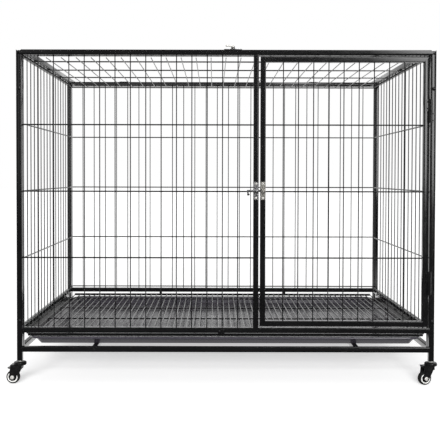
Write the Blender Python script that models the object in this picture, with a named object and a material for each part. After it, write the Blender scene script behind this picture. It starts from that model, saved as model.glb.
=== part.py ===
# Dog crate on casters: bolted frames of square tube, welded wire panels, a hinged
# door and lid with slide latches, a slide-out tray and a floor grid.
# Metres, +Z up. The front is at -Y. The origin is on the floor, under the middle.

import math

import bmesh
import bpy
from mathutils import Matrix, Vector

# Overall size of the frames
CRATE_WIDTH = 1.250
CRATE_DEPTH = 0.800
CRATE_HEIGHT = 1.000

# Square tube, and the gap left between pieces that touch
TUBE = 0.016
TUBE_WALL = 0.0012
FIT = 0.0003
DRAIN_HOLE = 0.006

# Underside heights of the legs and of the two low rails
LEG_END = 0.070
LOWER_RAIL = 0.0965
BOTTOM_RAIL = 0.1545

# Door opening and lid
CENTRE_POST_X = 0.090
PANEL_GAP = 0.0045

# Welded wire: diameters, how deep crossing wires melt together, how far they lap the tube
UPRIGHT_WIRE = 0.0028
CROSS_WIRE = 0.0039
WELD_DEPTH = 0.0010
WIRE_LAP = 0.0115
CORNER_CLEARANCE = 0.0010

# Wire counts, and the space from the edge of an opening to its first wire
FRONT_WIRES = 14
FRONT_EDGE = 0.0461
DOOR_WIRES = 9
DOOR_EDGE = 0.0534
BACK_WIRES = 26
BACK_EDGE = 0.0452
SIDE_WIRES = 16
SIDE_EDGE = 0.0302
LID_WIRES = 25
LID_EDGE = 0.0485
CROSS_ROWS = 5
LOWEST_ROW_EDGE = 0.0085
HIGHEST_ROW_EDGE = 0.0050
LID_ROWS = 4
LID_ROW_EDGE = 0.0840

# Floor grid and the ledges under it
GRID_WIRES = 59
GRID_WIRE = 0.0035
GRID_CROSS_WIRE = 0.0050
GRID_ROWS = 4
GRID_FRONT_ROW = 0.060
GRID_BACK_ROW = 0.100
GRID_BAR = 0.006
GRID_BAR_RISE = 0.0008
GRID_SIDE_SPACE = 0.012
GRID_END_SPACE = 0.004
GRID_DROP = 0.0057
GRID_WIRE_MARGIN = 0.0054
LEDGE_SHEET = 0.002
LEDGE_FOOT = 0.022
LEDGE_INSET = 0.044

# Tray: a shallow pan with sloped walls, round corners and a rim folded down at its edge
TRAY_HEADROOM = 0.0007
TRAY_WALL = 0.0025
TRAY_SLOPE = 0.031
TRAY_RIM = 0.010
TRAY_FOLD = 0.0055
TRAY_CORNER = 0.040
TRAY_CORNER_STEPS = 4
TRAY_SIDE_SPACE = 0.012
TRAY_END_SPACE = 0.002

# Tubes under the tray
CROSS_TUBE_X = 0.394

# Corner bolts: domed heads on square shanks
LOWER_BOLT_HEIGHT = 0.190
UPPER_BOLT_DROP = 0.115
BOLT_HEAD_RADIUS = 0.0055
BOLT_HEAD_HEIGHT = 0.003
BOLT_SHANK = 0.005
BOLT_REACH = 0.024
HOLE_CLEARANCE = 0.0003

# Lift-off hinges, used on the door and on the lid
HINGE_LENGTH = 0.070
HINGE_RADIUS = 0.00575
HINGE_PIN_RADIUS = 0.0028
HINGE_BORE_RADIUS = 0.0033
HINGE_LEAF = 0.002
HINGE_LEAF_REACH = 0.0100
HINGE_PIN_SHARE = 0.85
LOWER_HINGE_HEIGHT = 0.306
UPPER_HINGE_DROP = 0.1814
LID_HINGE_X = 0.380
LID_LEAF_LAP = 0.0095

# Slide latches, used on the door and on the lid
LATCH_PLATE_LENGTH = 0.054
LATCH_PLATE_WIDTH = 0.015
LATCH_PLATE = 0.0015
LATCH_SLEEVE_RADIUS = 0.0055
LATCH_SLEEVE_LENGTH = 0.013
LATCH_BORE_RADIUS = 0.0035
LATCH_BOLT_RADIUS = 0.003
LATCH_AXIS = 0.0065
LATCH_BOLT_TAIL = 0.0275
LATCH_BACK_OFF = 0.0005
LATCH_TRAVEL = 0.012
LATCH_BOSS_RADIUS = 0.0065
LATCH_BOSS_HEIGHT = 0.0120
LEVER_RADIUS = 0.0025
LEVER_LENGTH = 0.020
LEVER_KNOB_RADIUS = 0.004
LEVER_INSET = 0.0035
DOOR_LATCH_RISE = 0.00325
DOOR_LEVER_ANGLE = math.radians(30)
LID_LATCH_X = 0.0205
LID_LEVER_ANGLE = math.radians(-82)

# Turn button that locks the floor grid and tray
LOCK_X = -0.019
LOCK_BELOW_RAIL_TOP = 0.0110
LOCK_RADIUS = 0.006
LOCK_SHEET = 0.0025
LOCK_ARM = 0.0145
LOCK_SHANK_RADIUS = 0.002
LOCK_HOLE_RADIUS = 0.0026
LOCK_HEAD_RADIUS = 0.0045
LOCK_HEAD_HEIGHT = 0.002

# Casters
WHEEL_RADIUS = 0.0205
WHEEL_WIDTH = 0.018
TYRE_THICKNESS = 0.0052
TYRE_ROUND = 0.0025
CASTER_TRAIL = 0.0210
AXLE_RADIUS = 0.003
AXLE_HEAD_RADIUS = 0.006
AXLE_HEAD_HEIGHT = 0.002
RUNNING_CLEARANCE = 0.0005
WHEEL_SIDE_SPACE = 0.0010
FORK_SHEET = 0.002
FORK_EYE_RADIUS = 0.0098
FORK_FRONT = 0.0070
FORK_BACK = 0.0275
FORK_CROWN = 0.005
WHEEL_TOP_SPACE = 0.0035
SWIVEL_RADIUS = 0.0192
SWIVEL_HEIGHT = 0.0115
COLLAR_RADIUS = 0.008
COLLAR_HEIGHT = 0.002
STEM_PIN_RADIUS = 0.004
STEM_PLUG_RADIUS = 0.0064
STEM_PLUG_LENGTH = 0.028
PEDAL_SHEET = 0.002
PEDAL_PIVOT = 0.0135
PEDAL_REACH = 0.0170
PEDAL_TIP = 0.006
PEDAL_SWING = math.radians(25)

# Direction each wheel trails in, in degrees anticlockwise from +X, and its brake
CASTERS = {
    "front_left": (-1, -1, 177, "down"),
    "front_right": (1, -1, 196, "up"),
    "rear_left": (-1, 1, 16, None),
    "rear_right": (1, 1, -3, None),
}

# Places that follow from the sizes above
SIDE = CRATE_WIDTH / 2
INNER_SIDE = SIDE - TUBE
FRONT = -CRATE_DEPTH / 2
BACK = CRATE_DEPTH / 2
INNER_FRONT = FRONT + TUBE
INNER_BACK = BACK - TUBE
TOP = CRATE_HEIGHT
INNER_TOP = TOP - TUBE
LOWER_RAIL_TOP = LOWER_RAIL + TUBE
BOTTOM_RAIL_TOP = BOTTOM_RAIL + TUBE
SIDE_FRAME_FRONT = INNER_FRONT + FIT
SIDE_FRAME_BACK = INNER_BACK - FIT
POST_LEFT = CENTRE_POST_X - TUBE / 2
POST_RIGHT = CENTRE_POST_X + TUBE / 2
DOOR_LEFT = POST_RIGHT + PANEL_GAP
DOOR_RIGHT = INNER_SIDE - PANEL_GAP
DOOR_BOTTOM = BOTTOM_RAIL_TOP + PANEL_GAP
DOOR_TOP = INNER_TOP - PANEL_GAP
LID_SIDE = INNER_SIDE - PANEL_GAP
LID_FRONT = INNER_FRONT + PANEL_GAP
LID_BACK = INNER_BACK - PANEL_GAP
PANEL_THICKNESS = FIT + UPRIGHT_WIRE + CROSS_WIRE - WELD_DEPTH
HINGE_STAND = FIT + HINGE_RADIUS
DOOR_AXIS = Vector((INNER_SIDE - PANEL_GAP / 2, FRONT - HINGE_STAND, 0))
LID_AXIS = Vector((0, BACK + HINGE_STAND, TOP + FIT + HINGE_LEAF - HINGE_RADIUS))
DOOR_HINGE_HEIGHTS = (LOWER_HINGE_HEIGHT, TOP - UPPER_HINGE_DROP)
DOOR_LATCH_HEIGHT = (DOOR_BOTTOM + DOOR_TOP) / 2 + DOOR_LATCH_RISE
BOLT_HEIGHTS = (LOWER_BOLT_HEIGHT, TOP - UPPER_BOLT_DROP)
GRID_TOP = BOTTOM_RAIL - GRID_DROP
GRID_CROSS_Z = GRID_TOP - GRID_WIRE + WELD_DEPTH - GRID_CROSS_WIRE / 2
GRID_BOTTOM = GRID_CROSS_Z - GRID_CROSS_WIRE / 2
GRID_SIDE = INNER_SIDE - GRID_SIDE_SPACE
GRID_FRONT = INNER_FRONT + GRID_END_SPACE
GRID_BACK = INNER_BACK - GRID_END_SPACE
TRAY_BOTTOM = LOWER_RAIL_TOP + FIT
TRAY_TOP = GRID_BOTTOM - FIT - LEDGE_SHEET - TRAY_HEADROOM
TRAY_SIDE = INNER_SIDE - TRAY_SIDE_SPACE
TRAY_END = CRATE_DEPTH / 2 - TUBE - TRAY_END_SPACE
LATCH_PITCH = TUBE + PANEL_GAP
LOCK_POINT = Vector((LOCK_X, FRONT - FIT, BOTTOM_RAIL_TOP - LOCK_BELOW_RAIL_TOP))
SWIVEL_TOP = LEG_END - COLLAR_HEIGHT - 2 * FIT
SWIVEL_BOTTOM = SWIVEL_TOP - SWIVEL_HEIGHT
FORK_TOP = SWIVEL_BOTTOM + 0.5 * FORK_CROWN
FORK_HALF = WHEEL_WIDTH / 2 + WHEEL_SIDE_SPACE + FORK_SHEET
WHEEL_SLOT_TOP = 2 * WHEEL_RADIUS + WHEEL_TOP_SPACE
CORE_RADIUS = WHEEL_RADIUS - TYRE_THICKNESS
SMOOTH_ANGLE = math.radians(40)


def clear_scene():
    for thing in list(bpy.data.objects):
        bpy.data.objects.remove(thing)


def finish(name, colour, roughness, metallic):
    material = bpy.data.materials.new(name)
    material.use_nodes = True
    shader = material.node_tree.nodes["Principled BSDF"]
    shader.inputs["Base Color"].default_value = (*colour, 1)
    shader.inputs["Roughness"].default_value = roughness
    shader.inputs["Metallic"].default_value = metallic
    return material


def add_object(name, shape, material, smooth=False):
    mesh = bpy.data.meshes.new(name)
    bmesh.ops.recalc_face_normals(shape, faces=shape.faces)
    shape.to_mesh(mesh)
    shape.free()
    mesh.materials.append(material)
    thing = bpy.data.objects.new(name, mesh)
    bpy.context.scene.collection.objects.link(thing)
    if smooth:
        mesh.shade_smooth()
        mesh.set_sharp_from_angle(angle=SMOOTH_ANGLE)
    return thing


def combine(thing, tool, operation):
    # The other shape is used once and removed, so only the finished solid is left
    modifier = thing.modifiers.new("combine", "BOOLEAN")
    modifier.operation = operation
    modifier.solver = "EXACT"
    modifier.object = tool
    bpy.context.view_layer.update()
    graph = bpy.context.evaluated_depsgraph_get()
    mesh = bpy.data.meshes.new_from_object(thing.evaluated_get(graph))
    thing.modifiers.clear()
    thing.data = mesh
    mesh.name = thing.name
    bpy.data.objects.remove(tool)


def smooth_faces(thing):
    thing.data.shade_smooth()
    thing.data.set_sharp_from_angle(angle=SMOOTH_ANGLE)


def put(thing, matrix):
    # Moves the mesh into place and leaves the object's origin at the matrix's origin
    origin = matrix.to_translation()
    thing.data.transform(Matrix.Translation(-origin) @ matrix)
    thing.location = origin


def set_origin(thing, origin):
    thing.data.transform(Matrix.Translation(thing.location - Vector(origin)))
    thing.location = origin


def hang(name, location, things):
    # An empty on a joint's axis carries the pieces that turn or slide about it
    carrier = bpy.data.objects.new(name, None)
    carrier.location = location
    bpy.context.scene.collection.objects.link(carrier)
    for thing in things:
        thing.location = thing.location - Vector(location)
        thing.parent = carrier
    return carrier


def add_box(shape, low, high):
    low = Vector(low)
    high = Vector(high)
    size = Matrix.Diagonal((*(high - low), 1))
    bmesh.ops.create_cube(shape, size=1, matrix=Matrix.Translation((low + high) / 2) @ size)


def lathe(points, steps, turn=0.0):
    # Turns a profile of (radius, height) points about the Z axis
    shape = bmesh.new()
    start = Matrix.Rotation(turn, 4, "Z")
    corners = [shape.verts.new(start @ Vector((radius, 0, height))) for radius, height in points]
    edges = [shape.edges.new(pair) for pair in zip(corners, corners[1:])]
    if points[0][0] > 0:
        edges.append(shape.edges.new((corners[-1], corners[0])))
    bmesh.ops.spin(shape, geom=corners + edges, axis=(0, 0, 1), cent=(0, 0, 0),
                   angle=math.tau, steps=steps, use_merge=True)
    bmesh.ops.remove_doubles(shape, verts=shape.verts, dist=0.000001)
    return shape


def extrude_outline(points, vector):
    # Pulls a flat outline of 3-D points along a vector
    shape = bmesh.new()
    face = shape.faces.new([shape.verts.new(point) for point in points])
    grown = bmesh.ops.extrude_face_region(shape, geom=[face])
    moved = [item for item in grown["geom"] if isinstance(item, bmesh.types.BMVert)]
    bmesh.ops.translate(shape, vec=vector, verts=moved)
    return shape


def arc(centre, radius, start, end, steps):
    angles = [start + (end - start) * step / steps for step in range(steps + 1)]
    return [(centre[0] + radius * math.cos(angle), centre[1] + radius * math.sin(angle))
            for angle in angles]


def spread(start, end, count):
    if count == 1:
        return [(start + end) / 2]
    return [start + (end - start) * step / (count - 1) for step in range(count)]


# Frames of hollow square tube

def flat_box(shape, plane, across, up, thick):
    # plane names the world axes of the three ranges, such as "xzy"
    ranges = dict(zip(plane, (across, up, thick)))
    add_box(shape, [ranges[axis][0] for axis in "xyz"], [ranges[axis][1] for axis in "xyz"])


def grow(bounds, amount):
    return (bounds[0] - amount, bounds[1] + amount)


def tube_frame(name, material, plane, across, up, face, windows, open_legs=False, drains=()):
    # A slab with windows is the welded outside, and a thinner one with wider windows the bore
    thick = (face, face + TUBE)
    outside = bmesh.new()
    flat_box(outside, plane, across, up, thick)
    frame = add_object(name, outside, material)
    cutter = bmesh.new()
    for window in windows:
        flat_box(cutter, plane, window[0], window[1], grow(thick, TUBE))
    combine(frame, add_object("windows", cutter, material), "DIFFERENCE")

    inside = bmesh.new()
    bore_up = grow(up, -TUBE_WALL)
    if open_legs:
        bore_up = (up[0] - TUBE_WALL, up[1] - TUBE_WALL)
    flat_box(inside, plane, grow(across, -TUBE_WALL), bore_up, grow(thick, -TUBE_WALL))
    bore = add_object("bore", inside, material)
    cutter = bmesh.new()
    for window in windows:
        wide = grow(window[0], TUBE_WALL)
        tall = grow(window[1], TUBE_WALL)
        flat_box(cutter, plane, wide, tall, grow(thick, TUBE))
    combine(bore, add_object("windows", cutter, material), "DIFFERENCE")
    combine(frame, bore, "DIFFERENCE")

    if drains:
        cutter = bmesh.new()
        middle = (thick[0] + thick[1]) / 2
        for place in drains:
            square = grow((place, place), DRAIN_HOLE / 2)
            flat_box(cutter, plane, square, (up[0] - TUBE / 2, up[0] + TUBE / 2),
                     grow((middle, middle), DRAIN_HOLE / 2))
        combine(frame, add_object("drains", cutter, material), "DIFFERENCE")
    return frame


def cut_bolt_holes(frame, depth, material):
    # depth is the range in Y that the square holes run through
    cutter = bmesh.new()
    half = BOLT_SHANK / 2 + HOLE_CLEARANCE
    centre = SIDE - TUBE / 2
    for side in (-1, 1):
        for height in BOLT_HEIGHTS:
            add_box(cutter, (side * centre - half, depth[0], height - half),
                    (side * centre + half, depth[1], height + half))
    combine(frame, add_object("holes", cutter, material), "DIFFERENCE")


def build_end_frame(name, face, windows, material):
    slots = [((-INNER_SIDE, INNER_SIDE), (LEG_END - TUBE, LOWER_RAIL)),
             ((-INNER_SIDE, INNER_SIDE), (LOWER_RAIL_TOP, BOTTOM_RAIL))]
    frame = tube_frame(name, material, "xzy", (-SIDE, SIDE), (LEG_END, TOP), face,
                       slots + windows, open_legs=True)
    cut_bolt_holes(frame, grow((face, face + TUBE), FIT / 2), material)
    return frame


def build_frames(black):
    up = (BOTTOM_RAIL_TOP, INNER_TOP)
    front = build_end_frame("front_frame", FRONT, [((-INNER_SIDE, POST_LEFT), up),
                                                   ((POST_RIGHT, INNER_SIDE), up)], black)
    drill_lock_hole(front, black)
    set_origin(front, (0, FRONT, LEG_END))
    back = build_end_frame("back_frame", INNER_BACK, [((-INNER_SIDE, INNER_SIDE), up)], black)
    set_origin(back, (0, BACK, LEG_END))

    inner = (SIDE_FRAME_FRONT + TUBE, SIDE_FRAME_BACK - TUBE)
    windows = [(inner, (LOWER_RAIL_TOP, BOTTOM_RAIL)), (inner, up)]
    drains = (inner[0] - TUBE / 2, inner[1] + TUBE / 2)
    reach = BOLT_REACH - TUBE + FIT
    for name, face in (("left_side_frame", -SIDE), ("right_side_frame", INNER_SIDE)):
        frame = tube_frame(name, black, "yzx", (SIDE_FRAME_FRONT, SIDE_FRAME_BACK),
                           (LOWER_RAIL, TOP), face, windows, drains=drains)
        cut_bolt_holes(frame, (SIDE_FRAME_FRONT - FIT, SIDE_FRAME_FRONT + reach), black)
        cut_bolt_holes(frame, (SIDE_FRAME_BACK - reach, SIDE_FRAME_BACK + FIT), black)
        set_origin(frame, (face + TUBE / 2, 0, LOWER_RAIL))


def build_door_frame(black):
    window = ((DOOR_LEFT + TUBE, DOOR_RIGHT - TUBE), (DOOR_BOTTOM + TUBE, DOOR_TOP - TUBE))
    return tube_frame("door_frame", black, "xzy", (DOOR_LEFT, DOOR_RIGHT),
                      (DOOR_BOTTOM, DOOR_TOP), FRONT, [window], drains=(DOOR_LEFT + TUBE,))


def build_lid_frame(black):
    window = ((-LID_SIDE + TUBE, LID_SIDE - TUBE), (LID_FRONT + TUBE, LID_BACK - TUBE))
    return tube_frame("lid_frame", black, "xyz", (-LID_SIDE, LID_SIDE), (LID_FRONT, LID_BACK),
                      INNER_TOP, [window], drains=(-LID_SIDE + TUBE,))


def build_cross_tube(name, x, black):
    shape = bmesh.new()
    half = TUBE / 2
    run = (INNER_FRONT + FIT, INNER_BACK - FIT)
    add_box(shape, (x - half, run[0], LOWER_RAIL), (x + half, run[1], LOWER_RAIL_TOP))
    tube = add_object(name, shape, black)
    bore = bmesh.new()
    half -= TUBE_WALL
    add_box(bore, (x - half, run[0] - TUBE, LOWER_RAIL + TUBE_WALL),
            (x + half, run[1] + TUBE, LOWER_RAIL_TOP - TUBE_WALL))
    combine(tube, add_object("bore", bore, black), "DIFFERENCE")
    set_origin(tube, (x, 0, LOWER_RAIL))


# Panels of welded wire

def add_wire(shape, start, end, radius, ridge):
    # A bar of diamond section with a ridge towards the wires that cross it
    along = (end - start).normalized()
    side = along.cross(ridge)
    section = [ridge * radius, side * radius, -ridge * radius, -side * radius]
    first = [shape.verts.new(start + corner) for corner in section]
    last = [shape.verts.new(end + corner) for corner in section]
    for here in range(4):
        after = (here + 1) % 4
        shape.faces.new((first[here], first[after], last[after], last[here]))
    shape.faces.new(first[::-1])
    shape.faces.new(last)


def wire_panel(name, material, corner, across, up, inward, uprights, crosses, upright_wire,
               cross_wire, depth=FIT):
    # uprights and crosses hold the wires' places and the range that each set spans
    axes = [Vector(across), Vector(up), Vector(inward)]

    def point(values):
        return Vector(corner) + sum((axis * value for axis, value in zip(axes, values)), Vector())

    first_layer = bmesh.new()
    centre = depth + upright_wire / 2
    for place in uprights[0]:
        add_wire(first_layer, point((place, uprights[1][0], centre)),
                 point((place, uprights[1][1], centre)), upright_wire / 2, axes[2])
    second_layer = bmesh.new()
    centre = depth + upright_wire - WELD_DEPTH + cross_wire / 2
    for place in crosses[0]:
        add_wire(second_layer, point((crosses[1][0], place, centre)),
                 point((crosses[1][1], place, centre)), cross_wire / 2, axes[2])
    panel = add_object(name, first_layer, material)
    combine(panel, add_object("cross_wires", second_layer, material), "UNION")
    return panel


def build_wire_panels(wire):
    up = (BOTTOM_RAIL_TOP - WIRE_LAP, INNER_TOP + WIRE_LAP)
    rows = spread(BOTTOM_RAIL_TOP + LOWEST_ROW_EDGE, INNER_TOP - HIGHEST_ROW_EDGE, CROSS_ROWS)
    middle_rows = rows[1:-1]
    post_lap = POST_LEFT + WIRE_LAP
    edge = INNER_SIDE - FIT
    places = spread(-INNER_SIDE + FRONT_EDGE, POST_LEFT - FRONT_EDGE, FRONT_WIRES)
    front = wire_panel("front_wire_panel", wire, (0, INNER_FRONT, 0), (1, 0, 0), (0, 0, 1),
                       (0, 1, 0), (places, up), (middle_rows, (-edge, post_lap)),
                       UPRIGHT_WIRE, CROSS_WIRE)
    set_origin(front, (places[0], INNER_FRONT, middle_rows[0]))

    places = spread(-INNER_SIDE + BACK_EDGE, INNER_SIDE - BACK_EDGE, BACK_WIRES)
    back = wire_panel("back_wire_panel", wire, (0, INNER_BACK, 0), (1, 0, 0), (0, 0, 1),
                      (0, -1, 0), (places, up), (rows, (-edge, edge)), UPRIGHT_WIRE, CROSS_WIRE)
    set_origin(back, (0, INNER_BACK, rows[0]))

    reach = CRATE_DEPTH / 2 - TUBE - PANEL_THICKNESS - CORNER_CLEARANCE
    inner = SIDE_FRAME_BACK - TUBE
    places = spread(-inner + SIDE_EDGE, inner - SIDE_EDGE, SIDE_WIRES)
    for name, side in (("left_wire_panel", -1), ("right_wire_panel", 1)):
        panel = wire_panel(name, wire, (side * INNER_SIDE, 0, 0), (0, 1, 0), (0, 0, 1),
                           (-side, 0, 0), (places, up), (rows, (-reach, reach)),
                           UPRIGHT_WIRE, CROSS_WIRE)
        set_origin(panel, (side * INNER_SIDE, 0, rows[0]))

    inner = (DOOR_LEFT + TUBE, DOOR_RIGHT - TUBE)
    places = spread(inner[0] + DOOR_EDGE, inner[1] - DOOR_EDGE, DOOR_WIRES)
    up = (DOOR_BOTTOM + TUBE - WIRE_LAP, DOOR_TOP - TUBE + WIRE_LAP)
    door = wire_panel("door_wire_panel", wire, (0, INNER_FRONT, 0), (1, 0, 0), (0, 0, 1),
                      (0, 1, 0), (places, up), (middle_rows, grow(inner, WIRE_LAP)),
                      UPRIGHT_WIRE, CROSS_WIRE)

    inner = (LID_SIDE - TUBE, LID_BACK - TUBE)
    places = spread(-inner[0] + LID_EDGE, inner[0] - LID_EDGE, LID_WIRES)
    lid_rows = spread(-inner[1] + LID_ROW_EDGE, inner[1] - LID_ROW_EDGE, LID_ROWS)
    lid = wire_panel("lid_wire_panel", wire, (0, 0, INNER_TOP), (0, 1, 0), (1, 0, 0),
                     (0, 0, -1), (lid_rows, grow((-inner[0], inner[0]), WIRE_LAP)),
                     (places, grow((-inner[1], inner[1]), WIRE_LAP)), CROSS_WIRE, UPRIGHT_WIRE)
    return door, lid


# Floor grid, ledges and tray

def build_floor_grid(wire):
    span = GRID_SIDE - GRID_WIRE_MARGIN
    ends = (GRID_FRONT + GRID_BAR / 2, GRID_BACK - GRID_BAR / 2)
    rows = spread(GRID_FRONT + GRID_FRONT_ROW, GRID_BACK - GRID_BACK_ROW, GRID_ROWS)
    grid = wire_panel("floor_grid", wire, (0, 0, GRID_TOP), (1, 0, 0), (0, 1, 0), (0, 0, -1),
                      (spread(-span, span, GRID_WIRES), ends), (rows, (-GRID_SIDE, GRID_SIDE)),
                      GRID_WIRE, GRID_CROSS_WIRE, depth=0)
    bars = bmesh.new()
    for start, end in ((GRID_FRONT, GRID_FRONT + GRID_BAR), (GRID_BACK - GRID_BAR, GRID_BACK)):
        add_box(bars, (-GRID_SIDE, start, GRID_BOTTOM),
                (GRID_SIDE, end, GRID_TOP + GRID_BAR_RISE))
    combine(grid, add_object("bars", bars, wire), "UNION")
    set_origin(grid, (0, GRID_FRONT, GRID_BOTTOM))


def build_ledges(black):
    # An angle welded under each bottom side rail, with its foot under the grid
    foot = GRID_BOTTOM - FIT
    top = BOTTOM_RAIL - FIT
    run = SIDE_FRAME_BACK - LEDGE_INSET
    for name, side in (("left_grid_ledge", -1), ("right_grid_ledge", 1)):
        outer = side * (INNER_SIDE + LEDGE_SHEET)
        inner = side * (INNER_SIDE + LEDGE_SHEET - LEDGE_FOOT)
        leg = side * INNER_SIDE
        points = [(outer, -run, foot - LEDGE_SHEET), (inner, -run, foot - LEDGE_SHEET),
                  (inner, -run, foot), (leg, -run, foot), (leg, -run, top), (outer, -run, top)]
        ledge = add_object(name, extrude_outline(points, (0, 2 * run, 0)), black)
        set_origin(ledge, (outer, 0, foot))


def rounded_ring(shape, half_x, half_y, radius, height):
    # A rectangle with round corners, as a ring of vertices at one height
    ring = []
    for quarter, (side, end) in enumerate(((1, 1), (-1, 1), (-1, -1), (1, -1))):
        centre = (side * (half_x - radius), end * (half_y - radius))
        start = quarter * math.pi / 2
        for x, y in arc(centre, radius, start, start + math.pi / 2, TRAY_CORNER_STEPS):
            ring.append(shape.verts.new((x, y, height)))
    return ring


def build_tray(plastic):
    # Rings from the underside, round the folded rim and down to the floor of the pan
    under_rim = TRAY_TOP - TRAY_WALL
    fold = TRAY_TOP - TRAY_FOLD
    levels = [(TRAY_SLOPE, TRAY_BOTTOM), (TRAY_RIM, under_rim), (TRAY_WALL, under_rim),
              (TRAY_WALL, fold), (0, fold), (0, TRAY_TOP), (TRAY_RIM + TRAY_WALL / 2, TRAY_TOP),
              (TRAY_SLOPE + TRAY_WALL / 2, TRAY_BOTTOM + TRAY_WALL)]
    shape = bmesh.new()
    rings = [rounded_ring(shape, TRAY_SIDE - inset, TRAY_END - inset, TRAY_CORNER - inset, height)
             for inset, height in levels]
    for lower, upper in zip(rings, rings[1:]):
        for here in range(len(lower)):
            after = (here + 1) % len(lower)
            shape.faces.new((lower[here], lower[after], upper[after], upper[here]))
    shape.faces.new(rings[0])
    shape.faces.new(rings[-1])
    tray = add_object("tray", shape, plastic, smooth=True)
    set_origin(tray, (0, -TRAY_END, TRAY_BOTTOM))


# Bolts, hinges, latches and the turn button

def build_corner_bolts(black):
    half = BOLT_SHANK / 2
    profile = [(0, FIT + BOLT_HEAD_HEIGHT), (0.6 * BOLT_HEAD_RADIUS, FIT + 0.85 * BOLT_HEAD_HEIGHT),
               (BOLT_HEAD_RADIUS, FIT), (0, FIT)]
    for end_name, end in (("front", -1), ("back", 1)):
        for side_name, side in (("left", -1), ("right", 1)):
            for level, height in zip(("lower", "upper"), BOLT_HEIGHTS):
                name = f"bolt_{end_name}_{side_name}_{level}"
                bolt = add_object(name, lathe(profile, 8), black)
                shank = bmesh.new()
                add_box(shank, (-half, -half, -BOLT_REACH), (half, half, FIT + BOLT_HEAD_HEIGHT / 2))
                combine(bolt, add_object("shank", shank, black), "UNION")
                smooth_faces(bolt)
                place = Vector((side * (SIDE - TUBE / 2), end * CRATE_DEPTH / 2, height))
                turn = Matrix.Rotation(-end * math.pi / 2, 4, "X")
                put(bolt, Matrix.Translation(place) @ turn)


def basis(across, out, along, origin):
    # Local X, Y and Z axes and an origin, as one matrix
    matrix = Matrix((across, out, along)).transposed().to_4x4()
    matrix.translation = origin
    return matrix


def hinge_leaf(across, out, span, material):
    leaf = bmesh.new()
    add_box(leaf, (across[0], out[0], span[0]), (across[1], out[1], span[1]))
    return add_object("leaf", leaf, material)


def build_hinge(fixed_name, moving_name, matrix, black, folded_leaf=0):
    # Local Z is the axis, +X the moving side and +Y away from the face it is fixed to.
    # A folded leaf of that length turns the corner over the top of the face instead
    half = HINGE_LENGTH / 2
    pin = half * HINGE_PIN_SHARE
    profile = [(0, -half), (HINGE_RADIUS, -half), (HINGE_RADIUS, -FIT / 2),
               (HINGE_PIN_RADIUS, -FIT / 2), (HINGE_PIN_RADIUS, pin), (0, pin)]
    fixed = add_object(fixed_name, lathe(profile, 10), black)
    flat = (-HINGE_RADIUS, HINGE_LEAF - HINGE_RADIUS)
    combine(fixed, hinge_leaf((-HINGE_LEAF_REACH, 0), flat, (-half, -FIT / 2), black), "UNION")
    ring = [(HINGE_RADIUS, FIT / 2), (HINGE_RADIUS, half), (HINGE_BORE_RADIUS, half),
            (HINGE_BORE_RADIUS, FIT / 2)]
    moving = add_object(moving_name, lathe(ring, 10), black)
    across, out = (0, HINGE_LEAF_REACH), flat
    if folded_leaf:
        across, out = (HINGE_RADIUS - HINGE_LEAF, HINGE_RADIUS), (-folded_leaf, 0)
    combine(moving, hinge_leaf(across, out, (FIT / 2, half), black), "UNION")
    for piece in (fixed, moving):
        smooth_faces(piece)
        put(piece, matrix)
    return moving


def latch_plate(name, material):
    plate = bmesh.new()
    half_width = LATCH_PLATE_WIDTH / 2
    half_length = LATCH_PLATE_LENGTH / 2
    add_box(plate, (-half_width, FIT, -half_length), (half_width, FIT + LATCH_PLATE, half_length))
    return add_object(name, plate, material)


def bolt_bore(start, end, material):
    # A round hole along local X at the height of the sliding bolt
    shape = lathe([(0, start), (LATCH_BORE_RADIUS, start), (LATCH_BORE_RADIUS, end), (0, end)], 8)
    bmesh.ops.transform(shape, matrix=Matrix.Rotation(math.pi / 2, 4, "Y"), verts=shape.verts)
    bmesh.ops.translate(shape, vec=(0, LATCH_AXIS, 0), verts=shape.verts)
    return add_object("bore", shape, material)


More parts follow.
